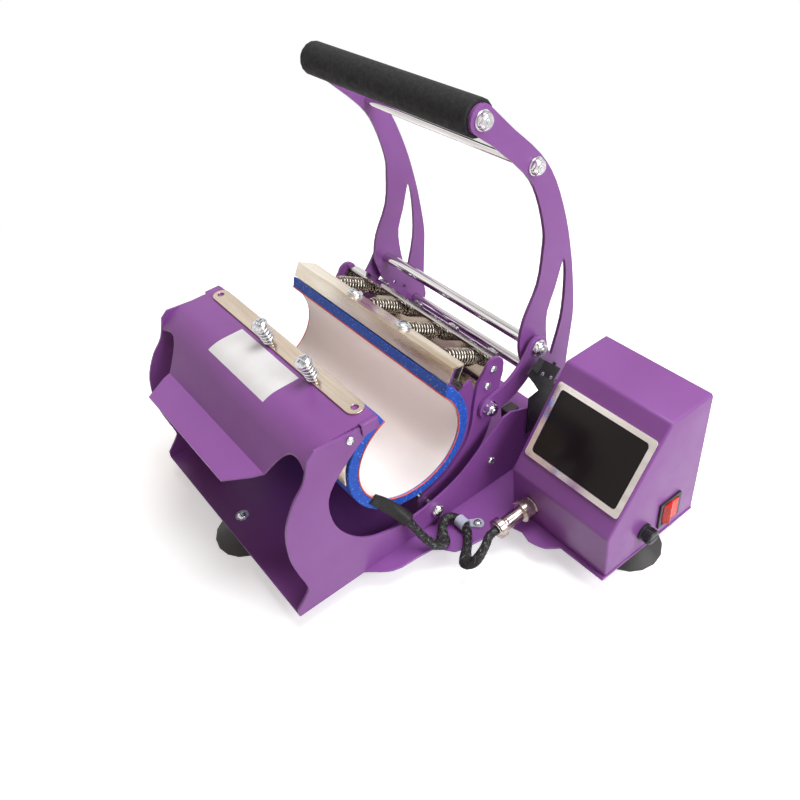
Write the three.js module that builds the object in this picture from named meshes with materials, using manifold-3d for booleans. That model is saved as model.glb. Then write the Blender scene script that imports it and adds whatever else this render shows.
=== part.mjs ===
// Tumbler heat press: a curved heating mat in a sheet steel cradle, closed by a two arm lever through a
// toggle linkage, with a sloping control box beside it. Lengths are in millimetres, Z points up.
// X runs from the cradle to the control box, with zero at the middle of the cradle. Y runs from the front
// to the rear, with zero at the front edge of the base plate, and Z is zero under the base plate.

import * as THREE from "three";
import * as BufferGeometryUtils from "three/addons/utils/BufferGeometryUtils.js";
import Module from "manifold-3d";

const wasm = await Module();
wasm.setup();

// Driving sizes
const OVERALL_WIDTH = 370;
const CRADLE_WIDTH = 239;
const BASE_DEPTH = 304;
const SHEET = 2;
const PLATE = 3;
const THIN_SHEET = 1.5;
const CHEEK_HEIGHT = 152;
const FOOT_HEIGHT = 19.6;
const CLEARANCE = 0.3;
const OVERRUN = 1;
const ROUND_STEPS = 16;
const CURVE_STEPS = 3;
const HALF_CRADLE = CRADLE_WIDTH / 2;
const SIDES = [["left", -1], ["right", 1]];

// Pivots of the toggle linkage, across the width: places in Y and Z. The link's two pins are set out
// from the lever's pivot and from the jaw's hinge.
const LEVER = { back: 8, height: 49, linkForward: 29, linkUp: 63.5 };
const HINGE = { y: 140.4, z: 15.9, linkBack: 70.6, linkUp: 64.1 };
const handleY = BASE_DEPTH - LEVER.back;
const PIVOT = {
  jaw: { y: HINGE.y, z: HINGE.z, radius: 3 },
  handle: { y: handleY, z: LEVER.height, radius: 5 },
  linkTop: { y: handleY - LEVER.linkForward, z: LEVER.height + LEVER.linkUp, radius: 5 },
  linkFoot: { y: HINGE.y + HINGE.linkBack, z: HINGE.z + HINGE.linkUp, radius: 3.5 },
};

// Offsets of the plates from the middle of the cradle, to their inner faces
const PLATE_SETS = { horn: 16, arm: 3.7, link: 3.5 };
const hornInner = HALF_CRADLE - PLATE_SETS.horn;
const armInner = hornInner - PLATE_SETS.arm;
const linkInner = hornInner + PLATE_SETS.link;

const MAT = { forward: 12.9, z: 92, depth: 49.5, height: 45.5, sideRoom: 7, thickness: 9, liner: 1, endSlant: 6 };
MAT.y = HINGE.y - MAT.forward;
MAT.halfWidth = HALF_CRADLE - MAT.sideRoom;
MAT.rearDegrees = 40;
MAT.frontDegrees = -247;
MAT.steps = 44;

const COLOR = {
  purple: 0x6f3f86,
  steel: 0xc9bda6,
  zinc: 0xb8bcc2,
  black: 0x15151a,
  rubber: 0x2b2826,
  silicone: 0x1f5fc8,
  liner: 0xe3d3d0,
  plastic: 0x17171b,
  clear: 0xc9cfe0,
  red: 0xd8402a,
  glass: 0x0a0a0c,
  board: 0x1d4a2c,
};

// Materials
function finish(color, roughness, metalness) {
  return new THREE.MeshStandardMaterial({ color, roughness, metalness });
}

const powder = () => finish(COLOR.purple, 0.5, 0.2);
const steel = () => finish(COLOR.steel, 0.3, 0.9);
const zinc = () => finish(COLOR.zinc, 0.25, 0.95);
const plastic = () => finish(COLOR.plastic, 0.5, 0);
const rubber = () => finish(COLOR.rubber, 0.85, 0);

// Solid modelling
function solid(geometry) {
  const bare = geometry.clone();
  bare.deleteAttribute("normal");
  bare.deleteAttribute("uv");
  const merged = BufferGeometryUtils.mergeVertices(bare, 1e-4);
  const vertProperties = Float32Array.from(merged.attributes.position.array);
  const triVerts = Uint32Array.from(merged.index.array);
  const first = new wasm.Manifold(new wasm.Mesh({ numProp: 3, vertProperties, triVerts }));
  if (first.volume() > 0) {
    return first;
  }
  return new wasm.Manifold(new wasm.Mesh({ numProp: 3, vertProperties, triVerts: triVerts.reverse() }));
}

function geometryOf(body) {
  const mesh = body.getMesh();
  const geometry = new THREE.BufferGeometry();
  geometry.setAttribute("position", new THREE.BufferAttribute(Float32Array.from(mesh.vertProperties), 3));
  geometry.setIndex(new THREE.BufferAttribute(Uint32Array.from(mesh.triVerts), 1));
  return geometry;
}

function union(...bodies) {
  return bodies.reduce((whole, body) => whole.add(body));
}

function cut(body, ...tools) {
  return tools.reduce((rest, tool) => rest.subtract(tool), body);
}

// A piece's named mesh, added to a group
function place(parent, name, body, material) {
  const mesh = new THREE.Mesh(geometryOf(body), material);
  mesh.name = name;
  parent.add(mesh);
  return mesh;
}

function block([x0, x1], [y0, y1], [z0, z1]) {
  const geometry = new THREE.BoxGeometry(x1 - x0, y1 - y0, z1 - z0);
  geometry.translate((x0 + x1) / 2, (y0 + y1) / 2, (z0 + z1) / 2);
  return solid(geometry);
}

// A closed outline pushed from one place to another along X, Y or Z
const PUSH_AXES = {
  x: [new THREE.Vector3(0, 1, 0), new THREE.Vector3(0, 0, 1), new THREE.Vector3(1, 0, 0)],
  y: [new THREE.Vector3(1, 0, 0), new THREE.Vector3(0, 0, 1), new THREE.Vector3(0, -1, 0)],
  z: [new THREE.Vector3(1, 0, 0), new THREE.Vector3(0, 1, 0), new THREE.Vector3(0, 0, 1)],
};

function pushed(axis, outline, [from, to]) {
  const shape = new THREE.Shape(outline);
  const geometry = new THREE.ExtrudeGeometry(shape, { depth: to - from, bevelEnabled: false });
  const [across, up, along] = PUSH_AXES[axis];
  geometry.applyMatrix4(new THREE.Matrix4().makeBasis(across, up, along));
  const start = axis === "y" ? -to : from;
  geometry.translate(along.x * start, along.y * start, along.z * start);
  return solid(geometry);
}

// A turned piece: steps of [radius, height] along a direction from a point
function turned(steps, at, direction, segments = ROUND_STEPS) {
  const heights = steps.map((step) => step[1]);
  const profile = [[0, heights[0]], ...steps, [0, heights[heights.length - 1]]];
  const geometry = new THREE.LatheGeometry(profile.map(([r, h]) => new THREE.Vector2(r, h)), segments);
  const toward = new THREE.Vector3(...direction).normalize();
  geometry.applyQuaternion(new THREE.Quaternion().setFromUnitVectors(new THREE.Vector3(0, 1, 0), toward));
  geometry.translate(...at);
  return solid(geometry);
}

function rod(radius, from, length, direction, segments = ROUND_STEPS) {
  return turned([[radius, 0], [radius, length]], from, direction, segments);
}

// Outline points
function arc(y, z, depth, height, fromDegrees, toDegrees, steps) {
  const points = [];
  for (let i = 0; i <= steps; i += 1) {
    const angle = THREE.MathUtils.degToRad(fromDegrees + ((toDegrees - fromDegrees) * i) / steps);
    points.push(new THREE.Vector2(y + depth * Math.cos(angle), z + height * Math.sin(angle)));
  }
  return points;
}

function scaled(shares, width, height, x = 0, y = 0) {
  return shares.map(([a, b]) => new THREE.Vector2(x + a * width, y + b * height));
}

function smooth(points, perSpan = CURVE_STEPS) {
  return new THREE.SplineCurve(points).getPoints((points.length - 1) * perSpan);
}

function mirrored(points) {
  return points.map((point) => new THREE.Vector2(-point.x, point.y)).reverse();
}

// A line moved sideways, to the left of its direction of travel
function offset(points, distance) {
  return points.map((point, i) => {
    const before = points[Math.max(i - 1, 0)];
    const after = points[Math.min(i + 1, points.length - 1)];
    const a = point.clone().sub(before);
    const b = after.clone().sub(point);
    const first = i === 0 ? b.clone().normalize() : a.normalize();
    const last = i === points.length - 1 ? first : b.normalize();
    const along = first.clone().add(last).normalize();
    const stretch = distance / Math.max(along.dot(first), 0.3);
    return new THREE.Vector2(point.x - along.y * stretch, point.y + along.x * stretch);
  });
}

// A bent sheet's section: a line and the same line moved by the thickness
function bent(points, thickness) {
  return [...points, ...offset(points, thickness).reverse()];
}

// Frame of the opened jaw: local Y points down to the rear, local Z along the clamping face
const JAW = { back: 28.5, up: 116, tilt: 30 };
JAW.y = HINGE.y + JAW.back;
JAW.z = HINGE.z + JAW.up;

const group = new THREE.Group();

// Outline of the control box
const BOX = { left: 148.8, depth: 104.8, topDepth: 45.4, top: 125.4, lip: 45.2, sheet: 1.5 };
BOX.right = OVERALL_WIDTH - HALF_CRADLE;
BOX.rear = BASE_DEPTH;
BOX.front = BOX.rear - BOX.depth;
BOX.slopeEndY = BOX.rear - BOX.topDepth;
BOX.slope = Math.atan2(BOX.top - BOX.lip, BOX.slopeEndY - BOX.front);

// Base plate: the cradle's floor with a curved wing that carries the control box
const BASE = { apron: 3.5, rim: 1, wingEdgeShares: [
  [0, 0.204], [0.038, 0.224], [0.092, 0.25], [0.13, 0.289],
  [0.153, 0.385], [0.24, 0.42], [0.278, 0.446], [0.356, 0.595],
  [0.504, 0.595], [0.585, 0.604], [0.624, 0.615], [0.675, 0.641],
] };
BASE.wingFront = BOX.front - BASE.apron;
BASE.wingWidth = BOX.right + BASE.rim - HALF_CRADLE;

function basePlate() {
  const right = HALF_CRADLE + BASE.wingWidth;
  const edge = smooth(scaled(BASE.wingEdgeShares, BASE.wingWidth, BASE_DEPTH, HALF_CRADLE, 0), 2);
  const outline = [
    new THREE.Vector2(-HALF_CRADLE, 0),
    new THREE.Vector2(HALF_CRADLE, 0),
    ...edge,
    new THREE.Vector2(right, BASE.wingFront),
    new THREE.Vector2(right, BASE_DEPTH),
    new THREE.Vector2(-HALF_CRADLE, BASE_DEPTH),
  ];
  return pushed("z", outline, [0, SHEET]);
}

place(group, "base_plate", basePlate(), powder());

// Cheeks: the two upright side plates with the bowl cut out for the mat and an ear for the lever's pivot
const CHEEK = { depth: BASE_DEPTH - SHEET, ear: 14 };
CHEEK.frontShares = [
  [0.002, 0.053], [0.036, 0.128], [0.045, 0.171], [0.032, 0.296],
  [0.023, 0.414], [0.025, 0.546], [0.038, 0.658], [0.07, 0.77],
  [0.106, 0.849], [0.129, 0.967],
];
CHEEK.topShares = [[0.151, 1], [0.313, 0.97]];
CHEEK.bowlShares = [
  [0.315, 0.947], [0.235, 0.836], [0.167, 0.704], [0.152, 0.572],
  [0.169, 0.414], [0.225, 0.263], [0.301, 0.191], [0.387, 0.171],
  [0.48, 0.194], [0.563, 0.25], [0.639, 0.349], [0.692, 0.414],
  [0.722, 0.461],
];
CHEEK.rearShares = [[0.752, 0.467], [0.795, 0.434], [0.828, 0.411], [0.914, 0.434]];

function cheek(side) {
  const outline = [
    new THREE.Vector2(0, SHEET),
    ...smooth(scaled(CHEEK.frontShares, CHEEK.depth, CHEEK_HEIGHT), 3),
    ...scaled(CHEEK.topShares, CHEEK.depth, CHEEK_HEIGHT),
    ...smooth(scaled(CHEEK.bowlShares, CHEEK.depth, CHEEK_HEIGHT), 3),
    ...smooth(scaled(CHEEK.rearShares, CHEEK.depth, CHEEK_HEIGHT), 3),
    ...arc(PIVOT.handle.y, PIVOT.handle.z, CHEEK.ear, CHEEK.ear, 100, -40, 10),
    new THREE.Vector2(CHEEK.depth, SHEET),
  ].reverse();
  const span = side > 0 ? [HALF_CRADLE - SHEET, HALF_CRADLE] : [-HALF_CRADLE, SHEET - HALF_CRADLE];
  const plate = pushed("x", outline, span);
  return cut(plate, boreAcross(PIVOT.jaw, span), boreAcross(PIVOT.handle, span));
}

// A clearance hole across a plate for the rod of a pivot
function boreAcross(pivot, [from, to]) {
  const length = to - from + 2 * OVERRUN;
  return rod(pivot.radius + CLEARANCE, [from - OVERRUN, pivot.y, pivot.z], length, [1, 0, 0]);
}

for (const [name, side] of SIDES) {
  place(group, `cheek_${name}`, cheek(side), powder());
}

// Front cover: a top plate, a soft bend and a slope down to a narrow level flap
const COVER = { top: 151, beforeMat: 28.8, bend: 47, bendRadius: 16, foldY: 19.8, flapTop: 118.6, flapFront: -7 };
COVER.rear = MAT.y - COVER.beforeMat;
COVER.halfWidth = HALF_CRADLE - SHEET;
COVER.planShares = [
  [0.338, -0.02], [0.545, -0.071], [0.66, 0.13], [0.685, 0.2], [0.72, 0.27], [0.77, 0.345],
  [0.83, 0.385], [0.9, 0.39], [0.96, 0.375], [1, 0.365],
];

const FRONT_SCREW = { shank: 2, length: 18.5, head: 6.5, headHeight: 4.5, below: 6, seat: 1.8, back: 10.7 };
FRONT_SCREW.leanDegrees = 16;
FRONT_SCREW.y = COVER.rear - FRONT_SCREW.back;
FRONT_SCREW.placeShares = [-0.09, 0.455];

// The frame of one front screw: local Z runs up its leaning shank from the top of the clamp strip
function frontScrewFrame(share) {
  const made = new THREE.Group();
  made.position.set(share * HALF_CRADLE, FRONT_SCREW.y, COVER.top + FRONT_SCREW.seat);
  made.rotation.x = THREE.MathUtils.degToRad(FRONT_SCREW.leanDegrees);
  made.updateMatrixWorld(true);
  return made;
}

function frontScrewHoles() {
  const lean = THREE.MathUtils.degToRad(FRONT_SCREW.leanDegrees);
  const along = new THREE.Vector3(0, -Math.sin(lean), Math.cos(lean));
  return FRONT_SCREW.placeShares.map((share) => {
    const from = new THREE.Vector3(share * HALF_CRADLE, FRONT_SCREW.y, COVER.top + FRONT_SCREW.seat);
    from.addScaledVector(along, -4 * SHEET);
    return rod(FRONT_SCREW.shank + CLEARANCE, from.toArray(), 8 * SHEET, along.toArray(), 14);
  });
}

function frontCover() {
  const rear = new THREE.Vector2(COVER.rear, COVER.top);
  const corner = new THREE.Vector2(COVER.bend, COVER.top);
  const fold = new THREE.Vector2(COVER.foldY, COVER.flapTop);
  const down = fold.clone().sub(corner).normalize();
  const bendStart = corner.clone().add(new THREE.Vector2(COVER.bendRadius, 0));
  const bendEnd = corner.clone().addScaledVector(down, COVER.bendRadius);
  const bend = new THREE.QuadraticBezierCurve(bendStart, corner, bendEnd).getPoints(6);
  const line = [rear, ...bend, fold, new THREE.Vector2(COVER.flapFront, COVER.flapTop)];
  const sheet = pushed("x", bent(line, THIN_SHEET), [-COVER.halfWidth, COVER.halfWidth]);
  const depth = COVER.rear;
  const flapEdge = scaled(COVER.planShares.slice(1, 3), COVER.halfWidth, depth);
  const sweep = smooth(scaled(COVER.planShares.slice(2), COVER.halfWidth, depth), 2).slice(1);
  const rightEdge = [...flapEdge, ...sweep, new THREE.Vector2(COVER.halfWidth, depth + OVERRUN)];
  const plan = pushed("z", [...rightEdge, ...mirrored(rightEdge)], [0, COVER.top + OVERRUN]);
  return cut(sheet.intersect(plan), ...frontScrewHoles());
}

place(group, "front_cover", frontCover(), powder());

// Front clamp strip with round ends, lying on the cover's rear edge, and its two sprung screws
const STRIP = { inset: 2.5, back: 14.7, width: 15, thickness: FRONT_SCREW.seat, holeInset: 7, holeRadius: 3 };
STRIP.halfLength = MAT.halfWidth - STRIP.inset;
STRIP.middle = COVER.rear - STRIP.back + STRIP.width / 2;
STRIP.top = COVER.top + STRIP.thickness;

function clampStrip() {
  const radius = STRIP.width / 2;
  const end = STRIP.halfLength - radius;
  const outline = [
    ...arc(end, STRIP.middle, radius, radius, -90, 90, 10),
    ...arc(-end, STRIP.middle, radius, radius, 90, 270, 10),
  ];
  const holes = [-1, 1].map((side) => {
    const from = [side * (STRIP.halfLength - STRIP.holeInset), STRIP.middle, COVER.top - OVERRUN];
    return rod(STRIP.holeRadius, from, STRIP.thickness + 2 * OVERRUN, [0, 0, 1], 16);
  });
  return cut(pushed("z", outline, [COVER.top, STRIP.top]), ...holes, ...frontScrewHoles());
}

place(group, "front_clamp_strip", clampStrip(), steel());

// A screw with a domed head; length is from the seat to under the head
function panScrew(at, direction, { shank, length, head, headHeight, below = 0, washer = 0 }) {
  const steps = [
    [shank, -below],
    [shank, length],
    [head, length],
    [head, length + headHeight * 0.45],
    [head * 0.8, length + headHeight * 0.85],
    [head * 0.35, length + headHeight],
  ];
  const body = turned(steps, at, direction);
  if (washer === 0) {
    return body;
  }
  return union(body, turned([[washer, 0], [washer, SHEET / 2]], at, direction));
}

// A wound spring: one tube that follows a helix along Z, narrower toward its ends
function coil({ wire, radius, endRadius, length, turns }) {
  const around = 8;
  const sides = 5;
  const rings = turns * around + 1;
  const positions = [];
  const centres = [];
  for (let i = 0; i < rings; i += 1) {
    const share = i / (rings - 1);
    const angle = (2 * Math.PI * i) / around;
    const swell = Math.min(1, Math.sin(Math.PI * share) * 1.6);
    const r = endRadius + (radius - endRadius) * swell;
    const z = wire + (length - 2 * wire) * share;
    const out = new THREE.Vector3(Math.cos(angle), Math.sin(angle), 0);
    const centre = out.clone().multiplyScalar(r).setZ(z);
    centres.push(centre);
    for (let k = 0; k < sides; k += 1) {
      const turn = (2 * Math.PI * k) / sides;
      const point = centre.clone().addScaledVector(out, wire * Math.cos(turn));
      positions.push(point.x, point.y, point.z + wire * Math.sin(turn));
    }
  }
  const index = [];
  for (let i = 0; i < rings - 1; i += 1) {
    for (let k = 0; k < sides; k += 1) {
      const a = i * sides + k;
      const b = i * sides + ((k + 1) % sides);
      index.push(a, b, a + sides, b, b + sides, a + sides);
    }
  }
  for (let k = 1; k < sides - 1; k += 1) {
    const last = (rings - 1) * sides;
    index.push(0, k + 1, k, last, last + k, last + k + 1);
  }
  const geometry = new THREE.BufferGeometry();
  geometry.setAttribute("position", new THREE.Float32BufferAttribute(positions, 3));
  geometry.setIndex(index);
  return { geometry, gap: leastGap(centres, around) - 2 * wire };
}

// The least distance between the centre points of neighbouring turns
function leastGap(centres, around) {
  let least = Infinity;
  for (let i = 0; i < centres.length; i += 1) {
    for (let j = i + around - 1; j < Math.min(i + around + 2, centres.length); j += 1) {
      least = Math.min(least, centres[i].distanceTo(centres[j]));
    }
  }
  return least;
}

function placeCoil(parent, name, size, at) {
  const { geometry, gap } = coil(size);
  console.log(`${name}: least gap between turns ${gap.toFixed(2)} mm`);
  geometry.translate(...at);
  return place(parent, name, solid(geometry), steel());
}

const FRONT_SPRING = { wire: 0.8, radius: 4.3, endRadius: 4.3, turns: 5 };
FRONT_SPRING.start = FRONT_SPRING.radius * Math.sin(THREE.MathUtils.degToRad(FRONT_SCREW.leanDegrees)) + CLEARANCE;
FRONT_SPRING.length = FRONT_SCREW.length - FRONT_SPRING.start - CLEARANCE;

FRONT_SCREW.placeShares.forEach((share, i) => {
  const name = SIDES[i][0];
  const frame = frontScrewFrame(share);
  group.add(frame);
  place(frame, `front_screw_${name}`, panScrew([0, 0, 0], [0, 0, 1], FRONT_SCREW), zinc());
  placeCoil(frame, `front_spring_${name}`, FRONT_SPRING, [0, 0, FRONT_SPRING.start]);
});

// Heating mat: a thick silicone foam bowl with a thin liner inside, open at the top for the tumbler
function ellipse(extra, fromDegrees, toDegrees, steps) {
  return arc(MAT.y, MAT.z, MAT.depth + extra, MAT.height + extra, fromDegrees, toDegrees, steps);
}

function siliconePad() {
  const inner = ellipse(0, MAT.rearDegrees, MAT.frontDegrees, MAT.steps);
  const outer = ellipse(MAT.thickness, MAT.rearDegrees + MAT.endSlant, MAT.frontDegrees, MAT.steps);
  return pushed("x", [...inner, ...outer.reverse()], [-MAT.halfWidth, MAT.halfWidth]);
}

function heaterLiner() {
  const inner = ellipse(-MAT.liner, MAT.rearDegrees, MAT.frontDegrees, MAT.steps);
  const outer = ellipse(0, MAT.rearDegrees, MAT.frontDegrees, MAT.steps);
  const half = MAT.halfWidth - THIN_SHEET;
  return pushed("x", [...inner, ...outer.reverse()], [-half, half]);
}

place(group, "silicone_pad", siliconePad(), finish(COLOR.silicone, 0.8, 0));
place(group, "heater_liner", heaterLiner(), finish(COLOR.liner, 0.6, 0));

// Front shell: steel sheet that hugs the front of the mat under the cover
const SHELL = { gap: 0.4, frontDegrees: [-181, -240], jawDegrees: [34, -72], ribDegrees: [18, -72], steps: 18 };
SHELL.inset = 2.5;
SHELL.halfWidth = MAT.halfWidth - SHELL.inset;

function frontShell() {
  const near = MAT.thickness + SHELL.gap;
  const [low, high] = SHELL.frontDegrees;
  const top = new THREE.Vector2(COVER.rear - THIN_SHEET, COVER.top - THIN_SHEET);
  const line = [...ellipse(near, low, high, SHELL.steps), top];
  const outward = [...ellipse(near + THIN_SHEET, low, high, SHELL.steps), new THREE.Vector2(top.x - SHEET, top.y)];
  return pushed("x", [...line, ...outward.reverse()], [-SHELL.halfWidth, SHELL.halfWidth]);
}

place(group, "front_shell", frontShell(), steel());

// Jaw: two curved side plates, a shell behind the mat, and a channel that backs the springs
const HORN = { lobeTop: 10, lobeFoot: 9, topY: 222, topZ: 114, reachY: 81.6, reachZ: 98.1 };
HORN.frontShares = [
  [-0.042, 0.103], [0.118, 0.134], [0.35, 0.215], [0.559, 0.368],
  [0.657, 0.541], [0.706, 0.735], [0.767, 0.929],
];
HORN.rearShares = [
  [1.11, 0.918], [1.049, 0.786], [0.988, 0.633], [0.902, 0.429],
  [0.767, 0.246], [0.559, 0.093], [0.301, -0.03], [0.093, -0.075],
];

function plateSpan(inner, thickness, side) {
  return side > 0 ? [inner, inner + thickness] : [-inner - thickness, -inner];
}

function horn(side) {
  const outline = [
    ...smooth(scaled(HORN.frontShares, HORN.reachY, HORN.reachZ, PIVOT.jaw.y, PIVOT.jaw.z), 3),
    ...arc(HORN.topY, HORN.topZ, HORN.lobeTop, HORN.lobeTop, 160, -20, 10),
    ...smooth(scaled(HORN.rearShares, HORN.reachY, HORN.reachZ, PIVOT.jaw.y, PIVOT.jaw.z), 3),
    ...arc(PIVOT.jaw.y, PIVOT.jaw.z, HORN.lobeFoot, HORN.lobeFoot, -60, -230, 8),
  ].reverse();
  const span = plateSpan(hornInner, PLATE, side);
  return cut(pushed("x", outline, span), boreAcross(PIVOT.jaw, span));
}

for (const [name, side] of SIDES) {
  place(group, `jaw_side_${name}`, horn(side), powder());
}

const RIB = { width: 2, reach: 16 };

function jawShell() {
  const near = MAT.thickness + SHELL.gap;
  const section = (extra, [high, low]) => [
    ...ellipse(near, high, low, SHELL.steps),
    ...ellipse(near + extra, high, low, SHELL.steps).reverse(),
  ];
  const sheet = pushed("x", section(THIN_SHEET, SHELL.jawDegrees), [-hornInner, hornInner]);
  const ribs = [-1, 1].map((side) => {
    return pushed("x", section(RIB.reach, SHELL.ribDegrees), plateSpan(hornInner - RIB.width, RIB.width, side));
  });
  return union(sheet, ...ribs);
}

place(group, "jaw_shell", jawShell(), powder());

// Pieces in the jaw's tilted frame
const jawFrame = new THREE.Group();
jawFrame.position.set(0, JAW.y, JAW.z);
jawFrame.rotation.x = THREE.MathUtils.degToRad(-JAW.tilt);
group.add(jawFrame);

const CHANNEL = { front: 52, web: 63, thickness: 2, top: 18, bottom: -17 };
const CLAMP = { inset: 1, depth: 20, height: 13.8, thickness: 1.5, skirt: -1 };
CLAMP.halfWidth = MAT.halfWidth - CLAMP.inset;
const SPRING = { wire: 0.95, radius: 7, endRadius: 4.6, turns: 12, pitch: 52, count: 4, height: 7.2 };
const BOLT = { radius: 2.4, nut: 5.5, nutHeight: 4.5, head: 5, headHeight: 3, rearGap: 10, rear: 6.8, rearHeight: 5 };

function channel() {
  const rear = CHANNEL.web + CHANNEL.thickness;
  const outline = [
    new THREE.Vector2(CHANNEL.front, CHANNEL.top - CHANNEL.thickness),
    new THREE.Vector2(CHANNEL.web, CHANNEL.top - CHANNEL.thickness),
    new THREE.Vector2(CHANNEL.web, CHANNEL.bottom + CHANNEL.thickness),
    new THREE.Vector2(CHANNEL.front, CHANNEL.bottom + CHANNEL.thickness),
    new THREE.Vector2(CHANNEL.front, CHANNEL.bottom),
    new THREE.Vector2(rear, CHANNEL.bottom),
    new THREE.Vector2(rear, CHANNEL.top),
    new THREE.Vector2(CHANNEL.front, CHANNEL.top),
  ];
  const body = pushed("x", outline, [-hornInner + CLEARANCE, hornInner - CLEARANCE]);
  const tabs = [-1, 1].map((side) => {
    const span = plateSpan(hornInner - CLEARANCE - CHANNEL.thickness, CHANNEL.thickness, side);
    return block(span, [CHANNEL.front, rear - OVERRUN], [CHANNEL.bottom + OVERRUN, CHANNEL.top - OVERRUN]);
  });
  const holes = springPlaces().map((x) => {
    const from = [x, CHANNEL.web - OVERRUN, SPRING.height];
    return rod(BOLT.radius + CLEARANCE, from, CHANNEL.thickness + 2 * OVERRUN, [0, 1, 0], 16);
  });
  return cut(union(body, ...tabs), ...holes);
}

function springPlaces() {
  const places = [];
  for (let i = 0; i < SPRING.count; i += 1) {
    places.push((i - (SPRING.count - 1) / 2) * SPRING.pitch);
  }
  return places;
}

function clampChannel() {
  const outline = [
    new THREE.Vector2(0, 0),
    new THREE.Vector2(CLAMP.thickness, 0),
    new THREE.Vector2(CLAMP.thickness, CLAMP.height - CLAMP.thickness),
    new THREE.Vector2(CLAMP.depth - CLAMP.thickness, CLAMP.height - CLAMP.thickness),
    new THREE.Vector2(CLAMP.depth - CLAMP.thickness, CLAMP.skirt),
    new THREE.Vector2(CLAMP.depth, CLAMP.skirt),
    new THREE.Vector2(CLAMP.depth, CLAMP.height),
    new THREE.Vector2(0, CLAMP.height),
  ];
  const holes = springPlaces().map((x) => {
    const from = [x, CLAMP.depth - CLAMP.thickness - OVERRUN, SPRING.height];
    return rod(BOLT.radius + CLEARANCE, from, CLAMP.thickness + 2 * OVERRUN, [0, 1, 0], 16);
  });
  return cut(pushed("x", outline, [-CLAMP.halfWidth, CLAMP.halfWidth]), ...holes);
}

place(jawFrame, "jaw_channel", channel(), steel());
place(jawFrame, "jaw_strip", clampChannel(), steel());

const STRIP_SCREW = { shank: 2.5, length: 1.2, head: 7.2, headHeight: 5, below: 0, washer: 7.8 };
STRIP_SCREW.x = (SPRING.pitch * 2) / 3;
STRIP_SCREW.reach = 12;

for (const [name, side] of SIDES) {
  const at = [side * STRIP_SCREW.x, STRIP_SCREW.reach, CLAMP.height];
  place(jawFrame, `strip_screw_${name}`, panScrew(at, [0, 0, 1], STRIP_SCREW), zinc());
}

// Guide bolts run from the strip through the springs and the channel; each has a head, a shank, a nut on
// the channel and a larger nut at its rear end
function guideBolt(x) {
  const start = CLAMP.depth - CLAMP.thickness - BOLT.headHeight;
  const webRear = CHANNEL.web + CHANNEL.thickness + CLEARANCE;
  const steps = [
    [BOLT.head, start],
    [BOLT.head, start + BOLT.headHeight],
    [BOLT.radius, start + BOLT.headHeight],
    [BOLT.radius, webRear],
    [BOLT.nut, webRear],
    [BOLT.nut, webRear + BOLT.nutHeight],
    [BOLT.radius, webRear + BOLT.nutHeight],
    [BOLT.radius, webRear + BOLT.nutHeight + BOLT.rearGap],
    [BOLT.rear, webRear + BOLT.nutHeight + BOLT.rearGap],
    [BOLT.rear, webRear + BOLT.nutHeight + BOLT.rearGap + BOLT.rearHeight],
  ];
  return turned(steps, [x, 0, SPRING.height], [0, 1, 0], 18);
}

springPlaces().forEach((x, i) => {
  place(jawFrame, `guide_bolt_${i + 1}`, guideBolt(x), zinc());
  const length = CHANNEL.web - CLAMP.depth;
  const { geometry, gap } = coil({ ...SPRING, length });
  console.log(`jaw_spring_${i + 1}: least gap between turns ${gap.toFixed(2)} mm`);
  geometry.rotateX(-Math.PI / 2);
  geometry.translate(x, CLAMP.depth, SPRING.height);
  place(jawFrame, `jaw_spring_${i + 1}`, solid(geometry), steel());
});

// Hinge rod of the jaw and fulcrum bar of the lever, both held by the cheeks
function crossRod(pivot, halfLength, capRadius, capLength) {
  const seat = HALF_CRADLE;
  const steps = [
    [capRadius * 0.7, -seat - capLength],
    [capRadius, -seat - capLength * 0.6],
    [capRadius, -seat],
    [pivot.radius, -seat],
    [pivot.radius, seat],
    [capRadius, seat],
    [capRadius, seat + capLength * 0.6],
    [capRadius * 0.7, seat + capLength],
  ];
  return turned(steps, [0, pivot.y, pivot.z], [1, 0, 0]);
}

const CAP = { radius: 6, length: 5 };
place(group, "hinge_rod", crossRod(PIVOT.jaw, HALF_CRADLE, CAP.radius, CAP.length), zinc());
place(group, "fulcrum_bar", crossRod(PIVOT.handle, HALF_CRADLE, CAP.radius + 2, CAP.length), zinc());

// Lever: two bowed arms with a crescent slot, joined by the grip tube and two bars
const ARM = { reach: 100, rise: 269, tip: 10.3, ear: 14, hole: 2 };
ARM.frontShares = [
  [-0.652, 0.925], [-0.353, 0.808], [-0.23, 0.725], [-0.155, 0.61],
  [-0.162, 0.542], [-0.217, 0.437], [-0.372, 0.338], [-0.428, 0.251],
  [-0.394, 0.177], [-0.3, 0.1], [-0.19, 0.041],
];
ARM.rearShares = [
  [0.132, 0.033], [0.145, 0.097], [0.186, 0.208], [0.204, 0.284],
  [0.181, 0.402], [0.146, 0.498], [0.08, 0.615], [-0.043, 0.749],
  [-0.204, 0.846], [-0.45, 0.941],
];
ARM.slotFrontShares = [
  [0.066, 0.483], [0.04, 0.463], [-0.027, 0.393], [-0.109, 0.325],
  [-0.121, 0.259], [-0.101, 0.184], [-0.052, 0.141],
];
ARM.slotRearShares = [[-0.052, 0.141], [0.061, 0.262], [0.094, 0.372], [0.09, 0.454], [0.066, 0.483]];
ARM.smallHoleShares = [[-0.234, 0.1145], [-0.129, 0.076]];

const GRIP = { forward: 73.4, foam: 13.2, tube: 8 };
GRIP.y = PIVOT.handle.y - GRIP.forward;
GRIP.z = PIVOT.handle.z + ARM.rise;
const TIE = { forward: 25.5, up: 220, radius: 4.5 };
TIE.y = PIVOT.handle.y - TIE.forward;
TIE.z = PIVOT.handle.z + TIE.up;

const BAR = { shoulder: 1, nut: 6.2 };
const thread = (bar) => ({ ...bar, radius: TIE.radius - BAR.shoulder });

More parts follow.
